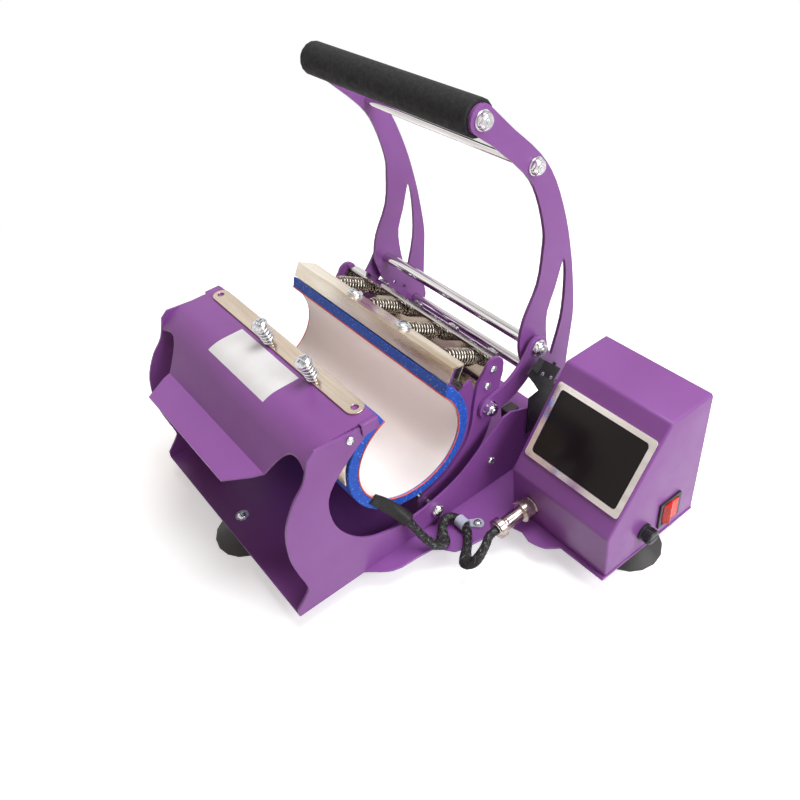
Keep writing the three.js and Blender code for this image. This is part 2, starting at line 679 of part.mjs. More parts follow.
function arm(side) {
  const { y, z } = PIVOT.handle;
  const outline = [
    ...smooth(scaled(ARM.frontShares, ARM.reach, ARM.rise, y, z)),
    ...arc(y, z, ARM.ear, ARM.ear, 180, 360, 12),
    ...smooth(scaled(ARM.rearShares, ARM.reach, ARM.rise, y, z)),
    ...arc(GRIP.y, GRIP.z, ARM.tip, ARM.tip, 43.6, 223.6, 10),
  ];
  const slotFront = smooth(scaled(ARM.slotFrontShares, ARM.reach, ARM.rise, y, z), 2);
  const slotRear = smooth(scaled(ARM.slotRearShares, ARM.reach, ARM.rise, y, z), 3);
  const span = plateSpan(armInner, PLATE, side);
  const wide = [span[0] - OVERRUN, span[1] + OVERRUN];
  const slot = pushed("x", [...slotFront, ...slotRear.slice(1, -1)], wide);
  const small = scaled(ARM.smallHoleShares, ARM.reach, ARM.rise, y, z).map((point) => {
    return rod(ARM.hole, [wide[0], point.x, point.y], wide[1] - wide[0], [1, 0, 0], 12);
  });
  const rods = [PIVOT.handle, thread(PIVOT.linkTop), { ...GRIP, radius: TIE.radius }, thread(TIE)];
  const bores = rods.map((pivot) => boreAcross(pivot, span));
  return cut(pushed("x", outline, span), slot, ...small, ...bores);
}

for (const [name, side] of SIDES) {
  place(group, `arm_${name}`, arm(side), powder());
}

// A bar between the arms, shouldered against their inner faces, with domed nuts outside at a given offset
function tieBar(at, radius, outside, nut) {
  const inner = armInner;
  const half = [
    [radius, 0],
    [radius, inner],
    [at.radius, inner],
    [at.radius, outside],
    [nut, outside],
    [nut, outside + nut * 0.5],
    [nut * 0.75, outside + nut * 0.9],
    [nut * 0.3, outside + nut * 1.1],
  ];
  const mirroredHalf = half.slice(1).map(([r, h]) => [r, -h]).reverse();
  return turned([...mirroredHalf, ...half.slice(1)], [0, at.y, at.z], [1, 0, 0]);
}

const armOuter = armInner + PLATE;
const linkOuter = linkInner + PLATE;
place(group, "grip_tube", tieBar({ ...GRIP, radius: TIE.radius }, GRIP.tube, armOuter, BAR.nut), steel());
place(group, "upper_tie_bar", tieBar(thread(TIE), TIE.radius, armOuter, BAR.nut), steel());
place(group, "link_bar", tieBar(thread(PIVOT.linkTop), PIVOT.linkTop.radius, linkOuter + CLEARANCE, BAR.nut), steel());

function foamGrip() {
  const half = armInner - CLEARANCE;
  const steps = [
    [GRIP.foam - OVERRUN, -half],
    [GRIP.foam, OVERRUN - half],
    [GRIP.foam, half - OVERRUN],
    [GRIP.foam - OVERRUN, half],
  ];
  const body = turned(steps, [0, GRIP.y, GRIP.z], [1, 0, 0]);
  const bore = rod(GRIP.tube + CLEARANCE / 3, [-half - OVERRUN, GRIP.y, GRIP.z], 2 * (half + OVERRUN), [1, 0, 0]);
  return cut(body, bore);
}

place(group, "foam_grip", foamGrip(), finish(COLOR.black, 0.95, 0));

// Links: bowed straps from the lever's lower bar to the jaw's side plates
const LINK = { halfWidth: 10, nut: 6 };
LINK.middleShares = [[0, 0], [0.205, 0.058], [0.479, 0.191], [0.729, 0.465], [0.875, 0.723], [1, 1]];

function strap(middle, halfWidth) {
  const first = middle[0];
  const last = middle[middle.length - 1];
  const degrees = (from, to) => THREE.MathUtils.radToDeg(Math.atan2(to.y - from.y, to.x - from.x));
  const startDegrees = degrees(first, middle[1]);
  const endDegrees = degrees(middle[middle.length - 2], last);
  return [
    ...offset(middle, halfWidth).reverse().slice(1, -1),
    ...arc(first.x, first.y, halfWidth, halfWidth, startDegrees + 90, startDegrees + 270, 10),
    ...offset(middle, -halfWidth).slice(1, -1),
    ...arc(last.x, last.y, halfWidth, halfWidth, endDegrees - 90, endDegrees + 90, 10),
  ];
}

function link(side) {
  const { linkTop, linkFoot } = PIVOT;
  const reach = linkTop.y - linkFoot.y;
  const rise = linkTop.z - linkFoot.z;
  const middle = smooth(scaled(LINK.middleShares, reach, rise, linkFoot.y, linkFoot.z), 3);
  const span = plateSpan(linkInner, PLATE, side);
  const plate = cut(pushed("x", strap(middle, LINK.halfWidth), span), boreAcross(thread(linkTop), span));
  const pinSteps = [
    [linkFoot.radius, hornInner + PLATE + CLEARANCE],
    [linkFoot.radius, linkOuter - OVERRUN],
    [LINK.nut, linkOuter - OVERRUN],
    [LINK.nut, linkOuter + LINK.nut * 0.5],
    [LINK.nut * 0.7, linkOuter + LINK.nut * 0.9],
  ];
  return union(plate, turned(pinSteps, [0, linkFoot.y, linkFoot.z], [side, 0, 0]));
}

for (const [name, side] of SIDES) {
  place(group, `link_${name}`, link(side), powder());
}

// Control box: a sheet shell with a sloping front, a rear panel, and what is set into it
function boxSection(inset, floor) {
  const shift = inset * Math.tan(BOX.slope / 2);
  return [
    new THREE.Vector2(BOX.front + inset, floor),
    new THREE.Vector2(BOX.rear, floor),
    new THREE.Vector2(BOX.rear, BOX.top - inset),
    new THREE.Vector2(BOX.slopeEndY + shift, BOX.top - inset),
    new THREE.Vector2(BOX.front + inset, BOX.lip - inset * Math.tan((Math.PI / 2 - BOX.slope) / 2)),
  ];
}

// A point on the sloping front: along the slope from the fold and out of it
const slopeFrame = new THREE.Group();
slopeFrame.position.set((BOX.left + BOX.right) / 2, BOX.front, BOX.lip);
slopeFrame.rotation.x = BOX.slope;
group.add(slopeFrame);

const BEZEL = { width: 95.5, side: 1.4, low: 18, high: 84, thickness: 1.6 };
const SCREEN = { width: 85, low: 23.4, high: 78.8 };
const ROCKER = {
  back: 21, width: 24.5, low: 11.5, high: 38.5, rim: 2, depth: 18, border: 3, crown: 3, draft: 2, throwDegrees: 13,
};
ROCKER.rear = BOX.rear - ROCKER.back;
ROCKER.front = ROCKER.rear - ROCKER.width;
ROCKER.backShare = 0.7;
const FUSE = { gap: 16.5, z: 21.5, barrel: 6, flange: 7.5, flangeThickness: 2.5, cap: 6.2, capLength: 8, depth: 24 };
FUSE.y = ROCKER.front - FUSE.gap;
const SOCKET = { side: 22.2, z: 19, barrel: 7, flange: 9, flangeThickness: 2, depth: 10, nose: 6 };
SOCKET.x = BOX.left + SOCKET.side;
const INLET = { side: 29.2, width: 27, height: 20, z: 45, flange: 3, depth: 18 };
INLET.x = BOX.left + INLET.side;

function boxShell() {
  const outer = pushed("x", boxSection(0, SHEET), [BOX.left, BOX.right]);
  const inner = pushed("x", boxSection(BOX.sheet, SHEET - OVERRUN), [BOX.left + BOX.sheet, BOX.right - BOX.sheet]);
  const cavity = union(inner, block([BOX.left + BOX.sheet, BOX.right - BOX.sheet], [BOX.slopeEndY, BOX.rear + OVERRUN],
    [SHEET - OVERRUN, BOX.top - BOX.sheet]));
  const windowHalf = SCREEN.width / 2 - SHEET;
  const windowTool = new THREE.BoxGeometry(2 * windowHalf, SCREEN.high - SCREEN.low - 2 * SHEET, 3 * SHEET);
  windowTool.translate(BEZEL.side, (SCREEN.high + SCREEN.low) / 2, 0);
  slopeFrame.updateMatrixWorld(true);
  windowTool.applyMatrix4(slopeFrame.matrixWorld);
  const rockerHole = block([BOX.right - SHEET * 2, BOX.right + OVERRUN],
    [ROCKER.front + ROCKER.rim, ROCKER.rear - ROCKER.rim], [ROCKER.low + ROCKER.rim, ROCKER.high - ROCKER.rim]);
  const fuseHole = rod(FUSE.barrel + CLEARANCE, [BOX.right - SHEET * 2, FUSE.y, FUSE.z], SHEET * 3, [1, 0, 0], 16);
  const socketHole = rod(SOCKET.barrel + CLEARANCE, [SOCKET.x, BOX.front - OVERRUN, SOCKET.z], SHEET * 3, [0, 1, 0], 16);
  return cut(outer, cavity, solid(windowTool), rockerHole, fuseHole, socketHole);
}

place(group, "control_box_shell", boxShell(), powder());

// Rear panel, set inside the shell's rear edge
function rearPanel() {
  const half = BOX.sheet;
  const panel = block([BOX.left + half, BOX.right - half], [BOX.rear - BOX.sheet, BOX.rear], [SHEET, BOX.top - half]);
  const hole = block([INLET.x, INLET.x + INLET.width], [BOX.rear - 2 * SHEET, BOX.rear + OVERRUN],
    [INLET.z, INLET.z + INLET.height]);
  return cut(panel, hole);
}

place(group, "box_rear_panel", rearPanel(), powder());

function bezel() {
  const half = BEZEL.width / 2;
  const inside = SCREEN.width / 2 + CLEARANCE;
  const side = BEZEL.side;
  const frame = block([side - half, side + half], [BEZEL.low, BEZEL.high], [CLEARANCE / 3, BEZEL.thickness]);
  const window = block([side - inside, side + inside], [SCREEN.low - CLEARANCE, SCREEN.high + CLEARANCE], [-OVERRUN, SHEET + OVERRUN]);
  return cut(frame, window);
}

function screen() {
  const half = SCREEN.width / 2;
  const side = BEZEL.side;
  return block([side - half, side + half], [SCREEN.low, SCREEN.high], [CLEARANCE / 3, BEZEL.thickness - CLEARANCE]);
}

place(slopeFrame, "display_bezel", bezel(), steel());
place(slopeFrame, "display_screen", screen(), finish(COLOR.glass, 0.08, 0));

// Rocker switch: a rimmed frame through the right wall and a rocker that tips in it
function rockerFrame() {
  const rim = block([BOX.right, BOX.right + ROCKER.rim], [ROCKER.front, ROCKER.rear], [ROCKER.low, ROCKER.high]);
  const inset = ROCKER.rim + CLEARANCE;
  const body = block([BOX.right - ROCKER.depth, BOX.right + OVERRUN],
    [ROCKER.front + inset, ROCKER.rear - inset], [ROCKER.low + inset, ROCKER.high - inset]);
  const border = ROCKER.border;
  const well = block([BOX.right - ROCKER.depth / 2, BOX.right + ROCKER.rim + OVERRUN],
    [ROCKER.front + border, ROCKER.rear - border], [ROCKER.low + border, ROCKER.high - border]);
  return cut(union(rim, body), well);
}

// The rocker is tipped to one side in its frame, with its front half standing out
const ROCKER_PIVOT = { x: BOX.right - 3, y: (ROCKER.front + ROCKER.rear) / 2, z: (ROCKER.low + ROCKER.high) / 2 };
const rockerGroup = new THREE.Group();
rockerGroup.position.set(ROCKER_PIVOT.x, ROCKER_PIVOT.y, ROCKER_PIVOT.z);
rockerGroup.rotation.z = THREE.MathUtils.degToRad(ROCKER.throwDegrees);
group.add(rockerGroup);

function rocker() {
  const gap = 3 * CLEARANCE;
  const halfY = (ROCKER.rear - ROCKER.front) / 2 - ROCKER.border - gap;
  const halfZ = (ROCKER.high - ROCKER.low) / 2 - ROCKER.border - CLEARANCE;
  const face = BOX.right + ROCKER.rim - ROCKER_PIVOT.x;
  const half = [
    new THREE.Vector2(-ROCKER.rim, halfY * ROCKER.backShare),
    new THREE.Vector2(ROCKER.rim, halfY),
    new THREE.Vector2(face + ROCKER.crown, halfY - ROCKER.draft),
  ];
  const valley = new THREE.Vector2(face + ROCKER.crown / 3, 0);
  const outline = [...half.map(({ x, y }) => new THREE.Vector2(x, -y)), valley, ...half.reverse()];
  return pushed("z", outline, [-halfZ, halfZ]);
}

place(group, "rocker_frame", rockerFrame(), plastic());
place(rockerGroup, "rocker", rocker(), finish(COLOR.red, 0.3, 0));

// Fuse holder in the right wall and its screw cap
function fuseHolder() {
  const steps = [
    [FUSE.barrel, -FUSE.depth],
    [FUSE.barrel, 0],
    [FUSE.flange, 0],
    [FUSE.flange, FUSE.flangeThickness],
  ];
  return turned(steps, [BOX.right, FUSE.y, FUSE.z], [1, 0, 0]);
}

function fuseCap() {
  const start = FUSE.flangeThickness;
  const steps = [[FUSE.cap, start], [FUSE.cap, start + FUSE.capLength - OVERRUN], [FUSE.cap - OVERRUN, start + FUSE.capLength]];
  const cap = turned(steps, [BOX.right, FUSE.y, FUSE.z], [1, 0, 0]);
  const end = BOX.right + start + FUSE.capLength;
  const slot = block([end - OVERRUN, end + OVERRUN], [FUSE.y - FUSE.cap, FUSE.y + FUSE.cap],
    [FUSE.z - OVERRUN / 2, FUSE.z + OVERRUN / 2]);
  return cut(cap, slot);
}

place(group, "fuse_holder", fuseHolder(), plastic());
place(group, "fuse_cap", fuseCap(), plastic());

// Heater socket in the box's front wall and the cable's metal plug in it
const PLUG = { ring: 8, ringLength: 8, body: 6, bodyLength: 22, tail: 5.5, tailLength: 7, bore: 3.7 };
PLUG.length = PLUG.ringLength + PLUG.bodyLength + PLUG.tailLength;

function heaterSocket() {
  const steps = [
    [SOCKET.barrel, -SOCKET.depth],
    [SOCKET.barrel, 0],
    [SOCKET.flange, 0],
    [SOCKET.flange, SOCKET.flangeThickness],
  ];
  return turned(steps, [SOCKET.x, BOX.front, SOCKET.z], [0, -1, 0]);
}

function heaterPlug() {
  const front = SOCKET.flangeThickness;
  const steps = [
    [PLUG.ring, front],
    [PLUG.ring, front + PLUG.ringLength],
    [PLUG.body, front + PLUG.ringLength],
    [PLUG.body, front + PLUG.ringLength + PLUG.bodyLength],
    [PLUG.tail + OVERRUN, front + PLUG.ringLength + PLUG.bodyLength],
    [PLUG.tail + OVERRUN, front + PLUG.length - OVERRUN],
    [PLUG.tail, front + PLUG.length],
  ];
  return turned(steps, [SOCKET.x, BOX.front, SOCKET.z], [0, -1, 0]);
}

place(group, "heater_socket", heaterSocket(), zinc());
place(group, "heater_plug", heaterPlug(), zinc());

// Mains inlet in the rear panel
function powerInlet() {
  const wall = BOX.rear;
  const flange = block([INLET.x - SHEET, INLET.x + INLET.width + SHEET], [wall, wall + INLET.flange],
    [INLET.z - SHEET, INLET.z + INLET.height + SHEET]);
  const inset = CLEARANCE;
  const body = block([INLET.x + inset, INLET.x + INLET.width - inset], [wall - INLET.depth, wall + OVERRUN],
    [INLET.z + inset, INLET.z + INLET.height - inset]);
  const well = block([INLET.x + SHEET, INLET.x + INLET.width - SHEET], [wall - INLET.depth + SHEET, wall + INLET.flange + OVERRUN],
    [INLET.z + SHEET, INLET.z + INLET.height - SHEET]);
  return cut(union(flange, body), well);
}

place(group, "power_inlet", powerInlet(), plastic());

// Control board on four pillars on the base plate inside the box
const BOARD = { side: 11.2, margin: 15.8, width: 65, depth: 65, z: 10, thickness: 1.6, pillar: 3, partHeight: 16 };
BOARD.left = BOX.left + BOARD.side;
BOARD.right = BOARD.left + BOARD.width;
BOARD.front = BOX.front + BOARD.margin;
BOARD.rear = BOARD.front + BOARD.depth;

function controlBoard() {
  const plate = block([BOARD.left, BOARD.right], [BOARD.front, BOARD.rear], [BOARD.z, BOARD.z + BOARD.thickness]);
  const inset = 2 * BOARD.pillar;
  const pillars = [];
  for (const x of [BOARD.left + inset, BOARD.right - inset]) {
    for (const y of [BOARD.front + inset, BOARD.rear - inset]) {
      pillars.push(rod(BOARD.pillar, [x, y, SHEET], BOARD.z - SHEET + OVERRUN, [0, 0, 1], 12));
    }
  }
  const middle = (BOARD.left + BOARD.right) / 2;
  const part = block([middle - inset, middle + inset], [BOARD.front + inset, BOARD.front + 3 * inset],
    [BOARD.z, BOARD.z + BOARD.partHeight]);
  return union(plate, part, ...pillars);
}

place(group, "control_board", controlBoard(), finish(COLOR.board, 0.6, 0));

// Feet: rubber cups under the base plate, each with its screw's head above the plate
const FOOT = {
  radius: 29, lip: 2, neck: 10, dish: 3, frontX: -2.5, frontEdge: 16, sideX: 90, rearEdge: 29, boxSide: 20, boxEdge: 54,
};
FOOT.shoulderShare = 0.82;
FOOT.waistShare = 0.5;
FOOT.places = [
  [FOOT.frontX, FOOT.frontEdge],
  [-FOOT.sideX, BASE_DEPTH - FOOT.rearEdge],
  [FOOT.sideX, BASE_DEPTH - FOOT.rearEdge],
  [BOX.right - FOOT.boxSide, BOX.rear - FOOT.boxEdge],
];

function foot([x, y]) {
  const steps = [
    [FOOT.radius, -FOOT_HEIGHT],
    [FOOT.radius, FOOT.lip - FOOT_HEIGHT],
    [FOOT.radius * FOOT.shoulderShare, 3 * FOOT.lip - FOOT_HEIGHT],
    [FOOT.radius * FOOT.waistShare, -3 * FOOT.lip],
    [FOOT.neck, -FOOT.lip],
    [FOOT.neck, 0],
  ];
  const dish = turned([[FOOT.radius - FOOT.lip, -FOOT_HEIGHT - OVERRUN], [FOOT.radius - FOOT.lip, -FOOT_HEIGHT],
    [FOOT.neck, FOOT.dish - FOOT_HEIGHT]], [x, y, 0], [0, 0, 1]);
  return cut(turned(steps, [x, y, 0], [0, 0, 1]), dish);
}

FOOT.places.forEach((at, i) => {
  place(group, `foot_${i + 1}`, foot(at), rubber());
});

// Limit switch on its black bracket outside the right cheek, with a sprung plunger
const BRACKET = { forward: 53, up: 13, depth: 36, height: 72, thickness: 1.5 };
BRACKET.y = PIVOT.handle.y - BRACKET.forward;
BRACKET.z = PIVOT.handle.z - BRACKET.up;
BRACKET.outlineShares = [
  [0, 0], [0.9, 0], [0.9, 0.6], [1, 0.66], [0.5, 1], [0.3, 1], [0.03, 0.93], [0.25, 0.73], [0.42, 0.56],
  [0.1, 0.54], [0.08, 0.43],
];
const SWITCH = { length: 27, height: 12, width: 6, forward: 33, up: 50.5, tilt: -46 };
SWITCH.y = PIVOT.handle.y - SWITCH.forward;
SWITCH.z = PIVOT.handle.z + SWITCH.up;
const PLUNGER = { radius: 1.6, height: 2.2, depth: 4, travel: 1.2, place: 6 };

place(group, "switch_bracket", pushed("x", scaled(BRACKET.outlineShares, BRACKET.depth, BRACKET.height,
  BRACKET.y, BRACKET.z), [HALF_CRADLE, HALF_CRADLE + BRACKET.thickness]), plastic());

const switchFrame = new THREE.Group();
switchFrame.position.set(HALF_CRADLE + BRACKET.thickness + CLEARANCE, SWITCH.y, SWITCH.z);
switchFrame.rotation.x = THREE.MathUtils.degToRad(SWITCH.tilt);
group.add(switchFrame);

function limitSwitch() {
  const body = block([0, SWITCH.width], [-SWITCH.length / 2, SWITCH.length / 2], [-SWITCH.height / 2, SWITCH.height / 2]);
  const floor = SWITCH.height / 2 - PLUNGER.depth - PLUNGER.travel - CLEARANCE;
  const well = rod(PLUNGER.radius + CLEARANCE, [SWITCH.width / 2, PLUNGER.place, floor], SWITCH.height, [0, 0, 1], 14);
  return cut(body, well);
}

function plunger() {
  const from = [SWITCH.width / 2, PLUNGER.place, SWITCH.height / 2 - PLUNGER.depth];
  return rod(PLUNGER.radius, from, PLUNGER.depth + PLUNGER.height, [0, 0, 1], 14);
}

place(switchFrame, "limit_switch", limitSwitch(), plastic());
place(switchFrame, "switch_plunger", plunger(), plastic());

// Rubber stop under the right link, on the cheek's inner face
const STOP = { back: 15, down: 18, depth: 12, height: 14, width: 10 };
STOP.y = PIVOT.linkFoot.y + STOP.back;
STOP.z = PIVOT.linkFoot.z - STOP.down;

function stopBlock() {
  const inner = HALF_CRADLE - SHEET;
  const half = STOP.height / 2;
  return block([inner - STOP.width, inner], [STOP.y, STOP.y + STOP.depth], [STOP.z - half, STOP.z + half]);
}

place(group, "link_stop", stopBlock(), rubber());

// A hose of oval rings along a line: each ring has its centre, half width along Y and half height
function hose(rings, sides) {
  const positions = [];
  const index = [];
  rings.forEach(({ at, wide, high }, i) => {
    const before = new THREE.Vector3(...rings[Math.max(i - 1, 0)].at);
    const after = new THREE.Vector3(...rings[Math.min(i + 1, rings.length - 1)].at);
    const along = after.sub(before).normalize();
    const up = new THREE.Vector3().crossVectors(along, new THREE.Vector3(0, 1, 0)).normalize();
    const across = new THREE.Vector3().crossVectors(up, along);
    for (let k = 0; k < sides; k += 1) {
      const turn = (2 * Math.PI * k) / sides;
      const point = new THREE.Vector3(...at);
      point.addScaledVector(across, wide * Math.cos(turn)).addScaledVector(up, high * Math.sin(turn));
      positions.push(point.x, point.y, point.z);
    }
  });
  for (let i = 0; i < rings.length - 1; i += 1) {
    for (let k = 0; k < sides; k += 1) {
      const a = i * sides + k;
      const b = i * sides + ((k + 1) % sides);
      index.push(a, b, a + sides, b, b + sides, a + sides);
    }
  }
  const last = (rings.length - 1) * sides;
  for (let k = 1; k < sides - 1; k += 1) {
    index.push(0, k + 1, k, last, last + k, last + k + 1);
  }
  const geometry = new THREE.BufferGeometry();
  geometry.setAttribute("position", new THREE.Float32BufferAttribute(positions, 3));
  geometry.setIndex(index);
  return solid(geometry);
}

// Boot: a flattened sleeve at the mat's end that turns into a round open mouth for the cable
const BOOT = {
  mouth: 6.5, bore: 5, boreDepth: 5, flatWide: 11, flatHigh: 4.5, reach: 11.8, drop: 8.5, forward: 23.5, below: 48.5,
};
BOOT.sides = 16;
BOOT.lineShares = [[0, 0, 0], [0.25, 0, 0], [0.576, -0.2, -0.14], [0.83, -0.576, -0.27], [1, -1, -0.376]];
BOOT.line = BOOT.lineShares.map(([out, down, back]) => [
  MAT.halfWidth + CLEARANCE + out * BOOT.reach,
  MAT.y - BOOT.forward - back * BOOT.drop,
  MAT.z - BOOT.below + down * BOOT.drop,
]);

function boot() {
  const count = BOOT.line.length - 1;
  const rings = BOOT.line.map((at, i) => ({
    at,
    wide: BOOT.flatWide + ((BOOT.mouth - BOOT.flatWide) * i) / count,
    high: BOOT.flatHigh + ((BOOT.mouth - BOOT.flatHigh) * i) / count,
  }));
  const { end, along } = bootMouth();
  const from = end.clone().addScaledVector(along, -BOOT.boreDepth);
  return cut(hose(rings, BOOT.sides), rod(BOOT.bore, from.toArray(), 2 * BOOT.boreDepth, along.toArray(), 16));
}

function bootMouth() {
  const end = new THREE.Vector3(...BOOT.line[BOOT.line.length - 1]);
  const along = end.clone().sub(new THREE.Vector3(...BOOT.line[BOOT.line.length - 2])).normalize();
  return { end, along };
}

place(group, "cable_boot", boot(), rubber());

// Heater cable: out of the boot, over the cheek, through the clip and round to the plug
const CABLE = { radius: 3.4, sides: 8, steps: 62 };
CABLE.route = [
  [129, 110, 26.5],
  [136, 114, 16],
  [142.5, 119.5, 9],
  [143.5, 126.5, 6.6],
  [136.5, 131.5, 7.2],
  [130.5, 137.5, 9.5],
  [128.8, 145, 10.5],
  [132, 150.5, 8.2],
  [139, 151, 7.2],
  [146.5, 149.5, 7],
  [157, 141, 6.2],
  [166, 131, 6],
  [172.5, 126.5, 7],
  [177, 131, 10],
  [175.5, 143, 15.5],
  [171.6, 152, 18.7],
];

function heaterCable() {
  const { end, along } = bootMouth();
  const start = end.clone().addScaledVector(along, CLEARANCE - BOOT.boreDepth);
  const plugEnd = BOX.front - SOCKET.flangeThickness - PLUG.length - CLEARANCE;
  const points = [
    start,
    end,
    ...CABLE.route.map((point) => new THREE.Vector3(...point)),
    new THREE.Vector3(SOCKET.x, plugEnd - CABLE.radius, SOCKET.z),
    new THREE.Vector3(SOCKET.x, plugEnd, SOCKET.z),
  ];
  const curve = new THREE.CatmullRomCurve3(points);
  const section = new THREE.Shape(arc(0, 0, CABLE.radius, CABLE.radius, 0, 360 - 360 / CABLE.sides, CABLE.sides - 1));
  const settings = { steps: CABLE.steps, extrudePath: curve, bevelEnabled: false };
  return solid(new THREE.ExtrudeGeometry(section, settings));
}

place(group, "heater_cable", heaterCable(), finish(COLOR.black, 0.9, 0));

// Cable clip: a band round the cable with a tab that is screwed to the base plate
const CLIP = { bore: 4.2, wall: 1.2, width: 9, tab: 5.5, thickness: 1.5, before: 48.2, beside: 9.8, tabRight: 6.4, tabBack: 11.1 };
CLIP.x = BOX.left - CLIP.beside;
CLIP.y = BOX.front - CLIP.before;
CLIP.tabX = CLIP.x + CLIP.tabRight;
CLIP.tabY = CLIP.y + CLIP.tabBack;

function cableClip() {
  const z = SHEET + CLIP.bore + CLIP.wall;
  const start = CLIP.x - CLIP.width / 2;
  const band = rod(CLIP.bore + CLIP.wall, [start, CLIP.y, z], CLIP.width, [1, 0, 0]);
  const bore = rod(CLIP.bore, [start - OVERRUN, CLIP.y, z], CLIP.width + 2 * OVERRUN, [1, 0, 0]);
  const outline = [
    new THREE.Vector2(start, CLIP.y + CLIP.bore),
    new THREE.Vector2(start + CLIP.width, CLIP.y + CLIP.bore),
    ...arc(CLIP.tabX, CLIP.tabY, CLIP.tab, CLIP.tab, -10, 170, 8),
  ];
  const tab = pushed("z", outline, [SHEET, SHEET + CLIP.thickness]);
  const bridge = block([start, start + CLIP.width], [CLIP.y + CLIP.bore - OVERRUN, CLIP.y + CLIP.bore + 2 * CLIP.wall],
    [SHEET, SHEET + 2 * CLIP.thickness]);
  const hole = rod(SHEET, [CLIP.tabX, CLIP.tabY, 0], 3 * SHEET, [0, 0, 1], 12);
  return cut(union(band, tab, bridge), bore, hole);
}

place(group, "cable_clip", cableClip(), finish(COLOR.clear, 0.4, 0));

// The whole press, centred over its footprint and standing on its feet
const bounds = new THREE.Box3().setFromObject(group);
const middle = bounds.getCenter(new THREE.Vector3());
group.position.set(-middle.x, -middle.y, -bounds.min.z);

export default group;
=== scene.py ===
import math

import bmesh
import bpy
import numpy as np
from mathutils import Matrix, Vector
from mathutils.bvhtree import BVHTree


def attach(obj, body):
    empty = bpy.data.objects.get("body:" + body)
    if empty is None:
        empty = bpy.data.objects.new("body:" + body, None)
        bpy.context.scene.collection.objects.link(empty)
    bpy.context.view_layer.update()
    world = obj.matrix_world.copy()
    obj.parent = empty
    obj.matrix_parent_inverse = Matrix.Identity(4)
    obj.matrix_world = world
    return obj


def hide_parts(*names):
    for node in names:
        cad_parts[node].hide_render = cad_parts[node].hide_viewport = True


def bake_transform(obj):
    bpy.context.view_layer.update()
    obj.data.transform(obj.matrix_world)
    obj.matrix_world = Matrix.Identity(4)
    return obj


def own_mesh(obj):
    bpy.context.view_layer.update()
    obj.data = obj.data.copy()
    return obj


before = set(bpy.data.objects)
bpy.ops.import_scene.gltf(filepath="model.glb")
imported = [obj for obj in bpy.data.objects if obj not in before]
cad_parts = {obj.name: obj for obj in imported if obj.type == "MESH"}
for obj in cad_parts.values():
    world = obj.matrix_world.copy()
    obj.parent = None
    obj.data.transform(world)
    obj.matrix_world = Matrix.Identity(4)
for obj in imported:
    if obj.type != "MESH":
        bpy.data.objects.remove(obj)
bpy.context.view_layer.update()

# Where the press stands: a seamless pale table top under a large soft window on the right, as in a
# product studio. The camera looks down from the front right, over the control box.
CAMERA_PLACE = (0.40977, -0.25829, 0.54216)
CAMERA_RIGHT = Vector((0.607694, 0.786862, -0.1075))
CAMERA_DOWN = Vector((0.474487, -0.468278, -0.745371))
CAMERA_AHEAD = Vector((-0.636844, 0.40195, -0.657926))
FRAME_PIXELS = 800
FOCAL_PIXELS = 787.9
SENSOR = 36
NEAREST = 0.02


def placed(name, data):
    made = bpy.data.objects.new(name, data)
    bpy.context.scene.collection.objects.link(made)
    return made


camera = placed("camera", bpy.data.cameras.new("camera"))
camera.data.sensor_fit = "HORIZONTAL"
camera.data.sensor_width = SENSOR
camera.data.lens = FOCAL_PIXELS / FRAME_PIXELS * SENSOR
camera.data.clip_start = NEAREST
turn = Matrix((CAMERA_RIGHT, -CAMERA_DOWN, -CAMERA_AHEAD)).transposed()
camera.matrix_world = Matrix.Translation(CAMERA_PLACE) @ turn.to_4x4()
bpy.context.scene.camera = camera
bpy.context.scene.view_settings.view_transform = "Standard"


def node(tree, kind, inputs=None, **settings):
    """A node of a material or a geometry tree, with its settings, values and links"""
    made = tree.nodes.new(kind)
    for key, value in settings.items():
        setattr(made, key, value)
    for key, value in (inputs or {}).items():
        if isinstance(value, bpy.types.NodeSocket):
            tree.links.new(value, made.inputs[key])
        else:
            made.inputs[key].default_value = value
    return made


def out(tree, kind, inputs=None, **settings):
    """The first output of such a node"""
    return node(tree, kind, inputs, **settings).outputs[0]


def maths(tree, operation, first, second=0.0):
    return out(tree, "ShaderNodeMath", {0: first, 1: second}, operation=operation)


def ramp(tree, value, start, end, low=0.0, high=1.0, **settings):
    """What runs from low to high while the value runs from start to end"""
    return out(tree, "ShaderNodeMapRange", {0: value, 1: start, 2: end, 3: low, 4: high}, **settings)


def part_of(tree, vector, axis):
    return node(tree, "ShaderNodeSeparateXYZ", {0: vector}).outputs[axis]


def on_piece(tree):
    return node(tree, "ShaderNodeTexCoord").outputs["Object"]


# The room seen in gloss is white round the horizon and dimmer overhead, so metal keeps its contrast.
# Matt surfaces get a weak warm fill, more of it from behind. Each range holds two ends of what is
# measured, and the two strengths that it gives there.
OVERHEAD = (0.72, 0.97, 1.0, 0.25)
PATCHES = (0.42, 0.58, 0.68, 1.15)
PATCH_NOISE = {"Scale": 2.4, "Detail": 1.0}
FILL = (-0.8, 0.8, 0.12, 0.36)
WARM = (1, 0.76, 0.58, 1)
WHITE = (1, 1, 1, 1)
studio = bpy.data.worlds.new("studio")
studio.use_nodes = True
room = studio.node_tree
room.nodes.clear()
direction = node(room, "ShaderNodeTexCoord").outputs["Generated"]
overhead = ramp(room, part_of(room, direction, "Z"), *OVERHEAD)
patches = ramp(room, out(room, "ShaderNodeTexNoise", {"Vector": direction, **PATCH_NOISE}), *PATCHES)
fill = ramp(room, part_of(room, direction, "Y"), *FILL)
gloss_strength = maths(room, "MULTIPLY", overhead, patches)
in_gloss = out(room, "ShaderNodeBackground", {"Color": WHITE, "Strength": gloss_strength})
on_matt = out(room, "ShaderNodeBackground", {"Color": WARM, "Strength": fill})
plain = out(room, "ShaderNodeBackground", {"Color": WHITE, "Strength": 1.0})
